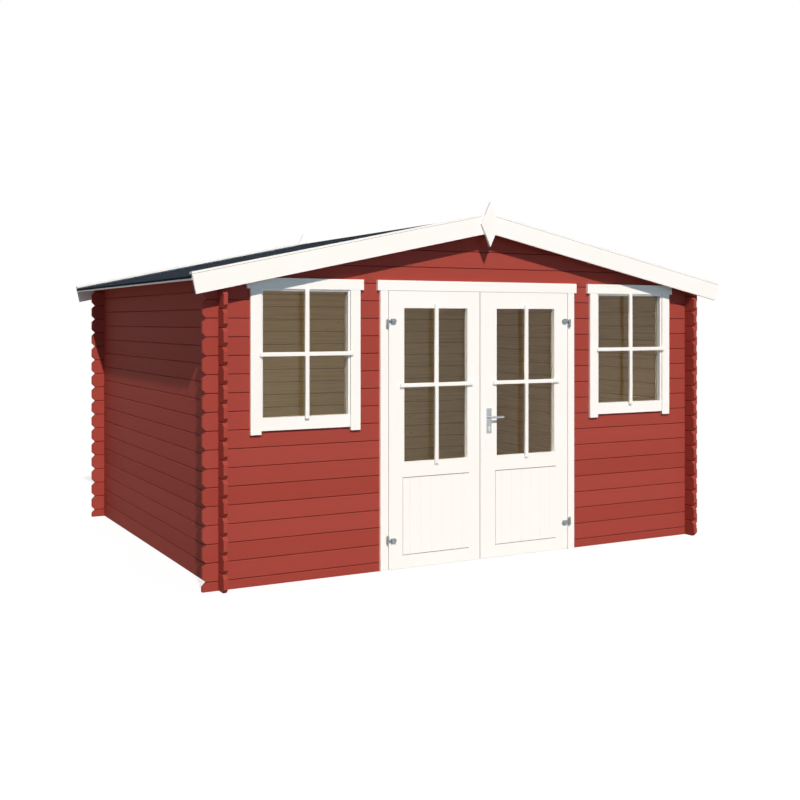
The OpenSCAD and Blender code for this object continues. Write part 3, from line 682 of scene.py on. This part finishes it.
def felt_sheet(name, side, underside):
    """A slightly wavy sheet from gable to gable, whose underside follows points in x and z."""
    line = [Vector((x, z)) for x, z in underside]
    normals = []
    for index in range(len(line)):
        run = line[min(index + 1, len(line) - 1)] - line[max(index - 1, 0)]
        normals.append(Vector((-run.y, run.x)).normalized())
    front = boards_low.y + FELT_END_GAP
    step = (boards_high.y - FELT_END_GAP - front) / FELT_STATIONS
    points, faces = [], []
    count = len(line)
    for station in range(FELT_STATIONS + 1):
        y = front + station * step
        for height in (0.0, FELT_THICKNESS):
            for point, normal in zip(line, normals):
                at = Vector((point.x * WAVES_DOWN, y * WAVES_ALONG, side * WAVES_APART))
                wave = noise.noise(at)
                lifted = point + normal * (height + FELT_WAVE * (wave + 1) / 2)
                points.append((side * lifted.x, y, lifted.y))
    for station in range(FELT_STATIONS):
        here = station * 2 * count
        there = here + 2 * count
        for k in range(count - 1):
            for level in (0, count):
                near, far = here + level + k, there + level + k
                faces.append([near, near + 1, far + 1, far])
        for k in (0, count - 1):
            faces.append([here + k, here + count + k, there + count + k, there + k])
    for end in (0, FELT_STATIONS * 2 * count):
        for k in range(count - 1):
            faces.append([end + k, end + k + 1, end + count + k + 1, end + count + k])
    mesh = closed_mesh(name, points, faces)
    mesh.materials.append(felt)
    sheet = put(name, mesh)
    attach(sheet, "root")
    return sheet


def slope_line(xs, out):
    """Points in x and z down a slope, at a distance out from the underside of the boards."""
    return [(x, roof_point(x, out)) for x in xs]


felt = mineral_felt("slate_granule_felt")
for hand, side in (("left", -1), ("right", 1)):
    run = strip_x - LOWER_COURSE_TOP
    steps = [LOWER_COURSE_TOP + run * k / LOWER_STEPS for k in range(LOWER_STEPS)]
    lower = slope_line([*steps, strip_x - FLAP_START], FELT_BED)
    lower += [
        (strip_x - FLAP_GAP, flap_top), (flap_x, flap_top - FLAP_BEND),
        (flap_x, flap_top - FELT_FLAP / 2), (flap_x, flap_top - FELT_FLAP),
    ]
    lower_course = felt_sheet("felt_lower_course_" + hand, side, lower)
    run = LOWER_COURSE_TOP - LAP_RUN_UP - UPPER_COURSE_TOP
    steps = [UPPER_COURSE_TOP + run * k / UPPER_STEPS for k in range(UPPER_STEPS + 1)]
    lap = [LOWER_COURSE_TOP + LAP_RISE, (LOWER_COURSE_TOP + UPPER_COURSE_FOOT) / 2, UPPER_COURSE_FOOT]
    upper = slope_line(steps, FELT_BED) + slope_line(lap, FELT_LAP_OUT)
    felt_sheet("felt_upper_course_" + hand, side, upper)
    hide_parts("roof_felt_" + hand)

# The ridge sheet's stations lie close together over the crown and spread out down the slope.
half_xs = [
    0.0, 0.008, 0.016, 0.026, 0.04, 0.06, 0.085, 0.115, 0.15, UPPER_COURSE_TOP - UPPER_COURSE_EASE,
    UPPER_COURSE_TOP + LAP_RISE, (UPPER_COURSE_TOP + RIDGE_SHEET_EDGE) / 2, RIDGE_SHEET_EDGE,
]
ridge = []
for x in [*[-x for x in reversed(half_xs[1:])], *half_xs]:
    bed = FELT_LAP_OUT if abs(x) > UPPER_COURSE_TOP else FELT_BED
    out = bed + RIDGE_CROWN * math.exp(-((x / RIDGE_CROWN_WIDTH) ** 2))
    ridge.append((x, roof_point(math.hypot(x, RIDGE_BEND), out)))
felt_sheet("felt_ridge_sheet", 1, ridge)


# Clout nails: galvanised, with flat heads 10 mm across. They hold the felt every 75 mm along its laps,
# 25 mm in from the edge of the upper sheet.
CLOUT_RADIUS = 0.005
CLOUT_HEIGHT = 0.0012
CLOUT_COUNT = 41
CLOUT_INSET = 0.025
CLOUT_END_GAP = 0.08
CLOUT_SEAT = 0.0003
METAL_UNEVENNESS = 0.06


def domed_head(tree, size, segments, rings):
    """A low dome with the sizes Radius and Height."""
    dome = add(tree, "GeometryNodeMeshUVSphere", {"Segments": segments, "Rings": rings, "Radius": 1.0})
    squash = add(
        tree, "ShaderNodeCombineXYZ", {"X": size["Radius"], "Y": size["Radius"], "Z": size["Height"]},
    )
    return add(tree, "GeometryNodeTransform", {"Geometry": dome, "Scale": squash})


def turned_to_facing(tree):
    """The turn that lays an instance's top along the "facing" of its point."""
    facing = add(tree, "GeometryNodeInputNamedAttribute", {"Name": "facing"}, data_type="FLOAT_VECTOR")
    return add(tree, "FunctionNodeAlignRotationToVector", {"Vector": facing}, axis="Z")


def seat_on_points(tree, size, fixing, rotation):
    """Ends a tree with a fixing on each point of the base mesh."""
    seated = add(
        tree, "GeometryNodeInstanceOnPoints",
        {"Points": size["Geometry"], "Instance": fixing, "Rotation": rotation},
    )
    end_shape(tree, seated, size["Finish"])
    return tree


def nail_tree():
    """A low domed head on each point of the base mesh, turned to its "facing"."""
    tree, size = start_shape("nail_heads", {"Radius": "Float", "Height": "Float", "Finish": "Material"})
    head = domed_head(tree, size, segments=10, rings=5)
    return seat_on_points(tree, size, head, turned_to_facing(tree))


def fixing_points(name, rows):
    """Points in rows, each given by its two ends, how many fixings it has and the way they face."""
    points, facings = [], []
    for start, end, count, facing in rows:
        for k in range(count):
            share = k / (count - 1) if count > 1 else 0.5
            points.append(Vector(start).lerp(Vector(end), share))
            facings += facing
    base = bpy.data.meshes.new(name)
    base.from_pydata(points, [], [])
    base.attributes.new("facing", "FLOAT_VECTOR", "POINT").data.foreach_set("vector", facings)
    return base


def metal(name, hex_colour, roughness, grain):
    """A metal whose gloss varies between grains, which have this size along each axis in metres."""
    material, tree = start_material(name)
    place = add(tree, "ShaderNodeTexCoord").outputs["Object"]
    stretched = add(tree, "ShaderNodeMapping", {"Vector": place, "Scale": grain}, vector_type="TEXTURE")
    patches = add(tree, "ShaderNodeTexVoronoi", {"Vector": stretched, "Scale": 1.0})
    tone = add(tree, "ShaderNodeSeparateColor", {"Color": patches.outputs["Color"]})
    rough = add(
        tree, "ShaderNodeMapRange",
        {"Value": tone, "To Min": roughness - METAL_UNEVENNESS, "To Max": roughness + METAL_UNEVENNESS},
    )
    surface = add(
        tree, "ShaderNodeBsdfPrincipled",
        {"Base Color": linear(hex_colour), "Metallic": 1.0, "Roughness": rough},
    )
    add(tree, "ShaderNodeOutputMaterial", {"Surface": surface})
    return material


# Hot-dip galvanised steel is pale grey, with flakes of zinc about 6 mm across that mottle its gloss.
galvanised = metal("galvanised_steel", "#8D969B", roughness=0.36, grain=(0.006, 0.006, 0.006))
nail_heads = nail_tree()
front_nail = boards_low.y + CLOUT_END_GAP
rows = []
for side in (-1, 1):
    up = (side * math.sin(ROOF_PITCH), 0.0, math.cos(ROOF_PITCH))
    for x in (UPPER_COURSE_FOOT - CLOUT_INSET, RIDGE_SHEET_EDGE - CLOUT_INSET):
        z = roof_point(x, FELT_LAP_OUT + FELT_THICKNESS + CLOUT_SEAT)
        rows.append(((side * x, front_nail, z), (side * x, -front_nail, z), CLOUT_COUNT, up))
clouts = grow(
    "felt_nails", fixing_points("felt_nail_points", rows), nail_heads,
    {"Radius": CLOUT_RADIUS, "Height": CLOUT_HEIGHT, "Finish": galvanised},
)
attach(clouts, "root")


# Eaves strips, barge boards, caps and finials: planed spruce painted satin white before fitting. The
# caps are nailed down over the barge boards and the felt's edges, and the finials cover the peaks.
CAP_REBATE_OUT = 0.0367
REBATE_SHADE = "#3E3D3A"
TRIM_NAIL_RADIUS = 0.0028
TRIM_NAIL_HEIGHT = 0.0007
TRIM_NAIL_SEAT = 0.0001
REBATE_DEPTH = 0.0018
BARGE_NAIL_COUNT = 7
BARGE_NAIL_OUTS = (-0.06, 0.012)
BARGE_NAIL_TOP_X = 0.12
CAP_NAIL_COUNT = 8
CAP_NAIL_INSET = 0.025
CAP_NAIL_OUT = 0.0492
CAP_NAIL_TOP_X = 0.06
SLOPE_NAIL_FOOT_X = 2.04
HEAD_NAIL_DROP = 0.012
WINDOW_HEAD_NAIL_COUNT = 4
WINDOW_HEAD_NAIL_XS = (0.96, 1.68)
DOOR_HEAD_NAIL_COUNT = 7
DOOR_HEAD_NAIL_X = 0.78
slope_white = white_paint("satin_white_down_the_slope", DOWN_SLOPE)
cap_white = white_paint("satin_white_on_caps", DOWN_SLOPE)
cap_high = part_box("barge_caps")[1]
tree = cap_white.node_tree
place = add(tree, "ShaderNodeTexCoord").outputs["Object"]
halves = add(tree, "ShaderNodeVectorMath", {"Vector": place}, operation="ABSOLUTE")
slanted = add(
    tree, "ShaderNodeVectorMath",
    {"Vector": halves, "Vector_001": (math.sin(ROOF_PITCH), 0.0, math.cos(ROOF_PITCH))},
    operation="DOT_PRODUCT",
)
under_cap = add(
    tree, "ShaderNodeMath",
    {"Value": slanted.outputs["Value"], "Value_001": ridge_z * math.cos(ROOF_PITCH) + CAP_REBATE_OUT},
    operation="LESS_THAN",
)
axes = add(tree, "ShaderNodeSeparateXYZ", {"Vector": halves}).outputs
at_front = add(
    tree, "ShaderNodeMath",
    {"Value": axes["Y"], "Value_001": cap_high.y - REBATE_DEPTH}, operation="GREATER_THAN",
)
# Painted shadow in the rebate under a cap's outer edge draws a thin grey line along the barge.
rebate_shadow = add(tree, "ShaderNodeMath", {"Value": under_cap, "Value_001": at_front}, operation="MULTIPLY")
colour_over(tree, rebate_shadow, REBATE_SHADE)
finish_nodes(slope_white, "front_barge_left", "front_barge_right", "back_barge_left", "back_barge_right")
finish_nodes(cap_white, "barge_caps")
finish_nodes(white_paint("satin_white_along_the_eaves", ALONG_Y), "eaves_strips")
finish_nodes(white_upright, "front_finial", "back_finial")

rows = []
barge_y = cap_high.y + TRIM_NAIL_SEAT
cap_middle = cap_high.y - CAP_NAIL_INSET
head_low, head_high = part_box("head_boards")
head_nail_z = head_high.z - HEAD_NAIL_DROP
for side in (-1, 1):
    up = (side * math.sin(ROOF_PITCH), 0.0, math.cos(ROOF_PITCH))
    for end in (-1, 1):
        for out in BARGE_NAIL_OUTS:
            near, far = (
                (side * x, end * barge_y, roof_point(x, out))
                for x in (BARGE_NAIL_TOP_X, SLOPE_NAIL_FOOT_X)
            )
            rows.append((near, far, BARGE_NAIL_COUNT, (0.0, end, 0.0)))
        near, far = (
            (side * x, end * cap_middle, roof_point(x, CAP_NAIL_OUT))
            for x in (CAP_NAIL_TOP_X, SLOPE_NAIL_FOOT_X)
        )
        rows.append((near, far, CAP_NAIL_COUNT, up))
    near, far = ((side * x, head_low.y, head_nail_z) for x in WINDOW_HEAD_NAIL_XS)
    rows.append((near, far, WINDOW_HEAD_NAIL_COUNT, (0.0, -1.0, 0.0)))
near, far = ((side * DOOR_HEAD_NAIL_X, head_low.y, head_nail_z) for side in (-1, 1))
rows.append((near, far, DOOR_HEAD_NAIL_COUNT, (0.0, -1.0, 0.0)))
trim_nails = grow(
    "trim_nails", fixing_points("trim_nail_points", rows), nail_heads,
    {"Radius": TRIM_NAIL_RADIUS, "Height": TRIM_NAIL_HEIGHT, "Finish": white_upright},
)
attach(trim_nails, "root")


# Door leaves: rails and stiles 44 mm thick, tenoned together, with upright boards in the lower half and
# a pane above, painted satin white. A cross of glazing bars is pinned on each pane's front.
LEAF_FRONT = 0.031
LEAF_REVEAL = 0.028
PANEL_MIDDLE = 0.367
PANEL_BOARD = 0.082
FIRST_GROOVE = PANEL_MIDDLE - 10.5 * PANEL_BOARD
PANEL_PIN_RADIUS = 0.0016
PANEL_PIN_INSET = 0.014
PANEL_PIN_SIDE = 0.006
PANEL_PIN_COUNT = 7
PANEL_HALF = 3 * PANEL_BOARD
RAIL_HALF = 0.247
GAP_REACH = 0.0052
GAP_HALF_WIDTH = 0.2605
GAP_Y = -1.4915
GAP_HALF_DEPTH = 0.0060
GAP_SHADE = "#54595E"
GROOVE_SHADE = "#E8E4DB"
DOOR_BAR_LEFT = -0.3706
DOOR_BAR_RIGHT = 0.3650
DOOR_BAR_FOOT = 0.690
DOOR_BAR_TOP = 1.766
DOOR_BAR_HALF = 0.282
DOOR_BAR_HEIGHT = 1.2235
leaf_white = white_paint("satin_white_on_door_leaves", ALONG_Z, rails=(PANEL_MIDDLE, RAIL_HALF))
reveal_finish(leaf_white, "left_door_glass", "left_door_frame", LEAF_REVEAL, TRIM_WHITE)
panel_low, panel_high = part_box("left_door_panel")
tree = leaf_white.node_tree
place, axes = object_axes(tree)
# The narrow gap round each boarded panel is in the dark, drawn as painted shade.
panel_z = (panel_low.z + panel_high.z) / 2
reach = (panel_high.z - panel_low.z) / 2 + GAP_REACH
beside = add(
    tree, "ShaderNodeMath",
    {"Value": axes["Z"], "Value_001": panel_z, "Value_002": reach}, operation="COMPARE",
)
deep = add(
    tree, "ShaderNodeMath",
    {"Value": axes["Y"], "Value_001": GAP_Y, "Value_002": GAP_HALF_DEPTH}, operation="COMPARE",
)
across = add(tree, "ShaderNodeMath", {"Value": axes["X"]}, operation="ABSOLUTE")
beneath = add(
    tree, "ShaderNodeMath",
    {"Value": across, "Value_001": PANEL_MIDDLE, "Value_002": GAP_HALF_WIDTH}, operation="COMPARE",
)
gap = add(tree, "ShaderNodeMath", {"Value": beside, "Value_001": deep}, operation="MULTIPLY")
gap = add(tree, "ShaderNodeMath", {"Value": gap, "Value_001": beneath}, operation="MULTIPLY")
colour_over(tree, gap, GAP_SHADE)

panel_white = white_paint("satin_white_on_panel_boards", ALONG_Z)
tree = panel_white.node_tree
place, axes = object_axes(tree)
across = add(tree, "ShaderNodeMath", {"Value": axes["X"]}, operation="ABSOLUTE")
# Grooves lie half a board to each side of a panel's middle. They are counted from one past the doors.
aside = add(tree, "ShaderNodeMath", {"Value": across, "Value_001": FIRST_GROOVE}, operation="SUBTRACT")
to_groove = add(
    tree, "ShaderNodeMath", {"Value": aside, "Value_001": PANEL_BOARD / 2}, operation="PINGPONG",
)
# At the foot of each V groove a faint line of painted shade lies over the tongue.
groove_shadow = add(
    tree, "ShaderNodeMapRange",
    {"Value": to_groove, "From Min": 0.0006, "From Max": 0.0014, "To Min": 1.0, "To Max": 0.0},
)
colour_over(tree, groove_shadow, GROOVE_SHADE)
board = board_number(tree, aside, PANEL_BOARD)
panel_wood = spruce_grain(tree, place, ALONG_Z, board)[0]
bare_past(tree, axes, (panel_low.y + panel_high.y) / 2, panel_wood)
finish_nodes(leaf_white, "left_door_frame", "right_door_frame")
finish_nodes(panel_white, "left_door_panel", "right_door_panel")
finish_nodes(pane_glass, "left_door_glass", "right_door_glass")

for hand, side, upright_x in (("left", -1, DOOR_BAR_LEFT), ("right", 1, DOOR_BAR_RIGHT)):
    leaf_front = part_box(hand + "_door_glass")[0].y - LEAF_FRONT
    lines = cross_lines(
        hand + "_door_bar_lines", leaf_front,
        upright=(upright_x, DOOR_BAR_FOOT, DOOR_BAR_TOP),
        level=(side * PANEL_MIDDLE, DOOR_BAR_HALF, DOOR_BAR_HEIGHT),
    )
    bars = grow(hand + "_door_bars", lines, bar_tree, bar_sizes)
    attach(bars, hand + "_door")
    pins = []
    for z in (panel_low.z + PANEL_PIN_INSET, panel_high.z - PANEL_PIN_INSET):
        near, far = (
            (side * PANEL_MIDDLE + way * (PANEL_HALF - PANEL_PIN_SIDE), panel_low.y, z)
            for way in (-1, 1)
        )
        pins.append((near, far, PANEL_PIN_COUNT, (0.0, -1.0, 0.0)))
    panel_pins = grow(
        hand + "_panel_pins", fixing_points(hand + "_panel_pin_points", pins), nail_heads,
        {"Radius": PANEL_PIN_RADIUS, "Height": PANEL_PIN_RADIUS / 4, "Finish": white_upright},
    )
    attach(panel_pins, hand + "_door")


# Hinges: galvanised drill-in hinges, two to a leaf. The leaf's half hangs on a pin that is screwed into
# the jamb with a round shank.
finish_nodes(galvanised, "left_door_hinges", "right_door_hinges", "hinge_pins")


# Lock and lever: satin stainless long plates screwed on both faces of the right leaf, a bent round
# lever on a spindle, and a nickel-plated cylinder with its key plug.
SCREW_RADIUS = 0.0034
SCREW_HEIGHT = 0.0009
SCREW_INSET = 0.009
CROSS_WIDTH = 0.0010
CROSS_LENGTH = 0.0038
COLLAR_INNER = 0.0079
COLLAR_OUTER = 0.0125
COLLAR_HEIGHT = 0.0030
# A collar's outer edge, rounded off: how far in, and the share of its height.
COLLAR_EDGE = ((0.0, 0.6), (0.0008, 0.9), (0.0020, 1.0))
COLLAR_SEGMENTS = 32
PLUG_RADIUS = 0.0065
PLUG_HEIGHT = 0.0006
KEY_SLOT = (0.0016, 0.0074)
# Ground stainless steel has soft streaks across it, and nickel plate on brass is warm and brighter.
satin_steel = metal("satin_stainless_steel", "#B4B8BA", roughness=0.3, grain=(0.02, 0.02, 0.0008))
nickel = metal("nickel_plated_brass", "#E9E6DC", roughness=0.25, grain=(0.003, 0.003, 0.003))
finish_nodes(satin_steel, "lock_plates", "lever_handle")
finish_nodes(nickel, "lock_cylinder")


def screw_tree():
    """A countersunk head with a cross recess on each point of the base mesh, turned by chance."""
    tree, size = start_shape("cross_screws", {
        "Radius": "Float", "Height": "Float", "Cross Width": "Float", "Cross Length": "Float",
        "Seed": "Int", "Finish": "Material",
    })
    head = domed_head(tree, size, segments=20, rings=8)
    # Each arm of the cross is sunk 0.6 of the head's height into it.
    depth = add(tree, "ShaderNodeMath", {"Value": size["Height"], "Value_001": 1.2}, operation="MULTIPLY")
    for width, length in (("Cross Width", "Cross Length"), ("Cross Length", "Cross Width")):
        arm_size = add(tree, "ShaderNodeCombineXYZ", {"X": size[width], "Y": size[length], "Z": depth})
        arm = add(tree, "GeometryNodeMeshCube", {"Size": arm_size})
        lift = add(tree, "ShaderNodeCombineXYZ", {"Z": size["Height"]})
        raised = add(tree, "GeometryNodeTransform", {"Geometry": arm, "Translation": lift})
        head = add(
            tree, "GeometryNodeMeshBoolean",
            {"Mesh 1": head, "Mesh 2": raised}, operation="DIFFERENCE", solver="EXACT",
        )
    turned = turned_to_facing(tree)
    chance = add(
        tree, "FunctionNodeRandomValue",
        {"Min_001": 0.0, "Max_001": math.pi, "Seed": size["Seed"]}, data_type="FLOAT",
    )
    roll = add(
        tree, "FunctionNodeAxisAngleToRotation", {"Axis": (0.0, 0.0, 1.0), "Angle": chance.outputs[1]},
    )
    rolled = add(
        tree, "FunctionNodeRotateRotation",
        {"Rotation": turned, "Rotate By": roll}, rotation_space="LOCAL",
    )
    return seat_on_points(tree, size, head, rolled)


plate_low, plate_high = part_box("lock_plates")
plate_x = (plate_low.x + plate_high.x) / 2
rows = []
for y, facing in ((plate_low.y, (0.0, -1.0, 0.0)), (plate_high.y, (0.0, 1.0, 0.0))):
    low_screw, high_screw = plate_low.z + SCREW_INSET, plate_high.z - SCREW_INSET
    rows.append(((plate_x, y, low_screw), (plate_x, y, high_screw), 2, facing))
screws = grow("lock_screws", fixing_points("lock_screw_points", rows), screw_tree(), {
    "Radius": SCREW_RADIUS, "Height": SCREW_HEIGHT, "Cross Width": CROSS_WIDTH,
    "Cross Length": CROSS_LENGTH, "Seed": 4, "Finish": satin_steel,
})
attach(screws, "right_door")


def turned_rings(name, centres, section):
    """Rings turned about Y, from centres with the way they face and a section of (radius, height)."""
    points, faces = [], []
    for centre, way in centres:
        first = len(points)
        for k in range(COLLAR_SEGMENTS):
            angle = math.tau * k / COLLAR_SEGMENTS
            for radius, height in section:
                points.append((
                    centre.x + radius * math.cos(angle), centre.y + way * height,
                    centre.z + radius * math.sin(angle),
                ))
        count = len(section)
        for k in range(COLLAR_SEGMENTS):
            here = first + k * count
            there = first + (k + 1) % COLLAR_SEGMENTS * count
            for j in range(count):
                after = (j + 1) % count
                faces.append([here + j, here + after, there + after, there + j])
    return closed_mesh(name, points, faces)


lever_low, lever_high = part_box("lever_handle")
lever_z = (lever_low.z + lever_high.z) / 2
sides = ((plate_low.y, -1), (plate_high.y, 1))
collar_section = (
    (COLLAR_INNER, 0.0), (COLLAR_OUTER, 0.0),
    *((COLLAR_OUTER - inward, COLLAR_HEIGHT * share) for inward, share in COLLAR_EDGE),
    (COLLAR_INNER, COLLAR_HEIGHT),
)
collar_mesh = turned_rings(
    "lever_collars", [(Vector((plate_x, y, lever_z)), way) for y, way in sides], collar_section,
)
collar_mesh.materials.append(satin_steel)
collars = put("lever_collars", collar_mesh)
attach(collars, "right_door")


def key_plug_tree():
    """A plug face with a key slot on each point of the base mesh, turned to its "facing"."""
    tree, size = start_shape("key_plugs", {
        "Radius": "Float", "Height": "Float", "Slot Width": "Float", "Slot Height": "Float",
        "Finish": "Material",
    })
    disc = add(
        tree, "GeometryNodeMeshCylinder",
        {"Vertices": 32, "Radius": size["Radius"], "Depth": size["Height"]},
    )
    # The slot goes right through the plug's face.
    tall = add(tree, "ShaderNodeMath", {"Value": size["Height"], "Value_001": 4.0}, operation="MULTIPLY")
    slot_size = add(
        tree, "ShaderNodeCombineXYZ", {"X": size["Slot Width"], "Y": size["Slot Height"], "Z": tall},
    )
    slot = add(tree, "GeometryNodeMeshCube", {"Size": slot_size})
    cut = add(
        tree, "GeometryNodeMeshBoolean",
        {"Mesh 1": disc, "Mesh 2": slot}, operation="DIFFERENCE", solver="EXACT",
    )
    return seat_on_points(tree, size, cut, turned_to_facing(tree))


cylinder_low, cylinder_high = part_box("lock_cylinder")
plug_z = cylinder_high.z - (cylinder_high.x - cylinder_low.x) / 2
rows = []
for y, way in ((cylinder_low.y, -1.0), (cylinder_high.y, 1.0)):
    centre = (plate_x, y, plug_z)
    rows.append((centre, centre, 1, (0.0, way, 0.0)))
plugs = grow("key_plugs", fixing_points("key_plug_points", rows), key_plug_tree(), {
    "Radius": PLUG_RADIUS, "Height": PLUG_HEIGHT, "Slot Width": KEY_SLOT[0], "Slot Height": KEY_SLOT[1],
    "Finish": nickel,
})
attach(plugs, "right_door")


# Ground, light and camera: the house stands on pale ground under a soft sky. The sun is high in front
# and a little to the left, and weaker lamps give the skylight in front, behind and in the room.
GROUND_REACH = 60
GROUND_GREY = "#8A8B8D"
GROUND_GLOW = 0.80
SKY_BLUE = "#D2E4EE"
SKY_STRENGTH = 0.215


def seen_directly(tree):
    """1 for what the camera sees, straight or through glass or in a mirror image, and 0 for lighting."""
    path = add(tree, "ShaderNodeLightPath").outputs
    seen = add(
        tree, "ShaderNodeMath",
        {"Value": path["Is Camera Ray"], "Value_001": path["Is Glossy Ray"]}, operation="MAXIMUM",
    )
    return add(
        tree, "ShaderNodeMath",
        {"Value": seen, "Value_001": path["Is Transmission Ray"]}, operation="MAXIMUM",
    )


def pale_ground(name):
    """Matt pale ground that shows white from the camera and keeps the shadow."""
    material, tree = start_material(name)
    matt = add(tree, "ShaderNodeBsdfDiffuse", {"Color": linear(GROUND_GREY)})
    dark = add(tree, "ShaderNodeEmission", {"Strength": 0.0})
    glow = add(tree, "ShaderNodeEmission", {"Strength": GROUND_GLOW})
    lit = add(
        tree, "ShaderNodeMixShader", {"Fac": seen_directly(tree), "Shader": dark, "Shader_001": glow},
    )
    both = add(tree, "ShaderNodeAddShader", {"Shader": matt, "Shader_001": lit})
    add(tree, "ShaderNodeOutputMaterial", {"Surface": both})
    return material


corners = [(x * GROUND_REACH, y * GROUND_REACH, 0) for x, y in ((-1, -1), (1, -1), (1, 1), (-1, 1))]
ground_mesh = bpy.data.meshes.new("ground")
ground_mesh.from_pydata(corners, [], [(0, 1, 2, 3)])
ground_mesh.materials.append(pale_ground("pale_ground"))
ground = put("ground", ground_mesh)

world = bpy.data.worlds.new("soft_sky")
bpy.context.scene.world = world
world.use_nodes = True
sky = world.node_tree
sky.nodes.clear()
soft = add(sky, "ShaderNodeBackground", {"Color": linear(SKY_BLUE), "Strength": SKY_STRENGTH})
white = add(sky, "ShaderNodeBackground", {"Color": (1.0, 1.0, 1.0, 1.0), "Strength": 1.0})
shown = add(sky, "ShaderNodeMixShader", {"Fac": seen_directly(sky), "Shader": soft, "Shader_001": white})
add(sky, "ShaderNodeOutputWorld", {"Surface": shown})


def distant_lamp(name, strength, spread, colour, direction):
    """A lamp as far off as the sun: its spread in degrees, and the way its light travels."""
    light = bpy.data.lights.new(name, "SUN")
    light.energy = strength
    light.angle = math.radians(spread)
    light.color = colour
    lamp = put(name, light)
    lamp.rotation_mode = "QUATERNION"
    lamp.rotation_quaternion = Vector(direction).to_track_quat("-Z", "Y")
    return lamp


distant_lamp(
    "sun", strength=3.39, spread=1.0, colour=(1.0, 0.90, 0.842), direction=(0.183, 0.7636, -0.64),
)
fill = distant_lamp(
    "fill", strength=1.38, spread=40.0, colour=(0.285, 0.667, 1.0), direction=(0.02, 1.0, 0.12),
)
# A weak wide lamp behind the house keeps its back readable.
rear = distant_lamp(
    "rear", strength=0.8, spread=60.0, colour=(0.92, 0.96, 1.0), direction=(-0.2, -1.0, -0.25),
)

# Soft daylight that the room gets from its windows, as one lamp just behind the front wall.
daylight = bpy.data.lights.new("room", "AREA")
daylight.energy = 10.3
daylight.shape = "RECTANGLE"
daylight.size = 1.6
daylight.size_y = 1.4
room = put("room", daylight)
room.location = (-1.06, -1.36, 1.1)
room.rotation_euler = (math.radians(90), 0.0, 0.0)
room.visible_camera = False
for lamp in (fill, rear, room):
    lamp.visible_glossy = False
    lamp.visible_transmission = False

lens = bpy.data.cameras.new("camera")
lens.sensor_width = 36.0
lens.lens = 49.33
lens.shift_x = 0.003
lens.shift_y = -0.0987
camera = put("camera", lens)
camera.location = (-4.111, -7.906, 1.651)
camera.rotation_euler = (math.radians(90), 0.0, math.radians(-28.28))
bpy.context.scene.camera = camera
bpy.context.scene.view_settings.view_transform = "Standard"
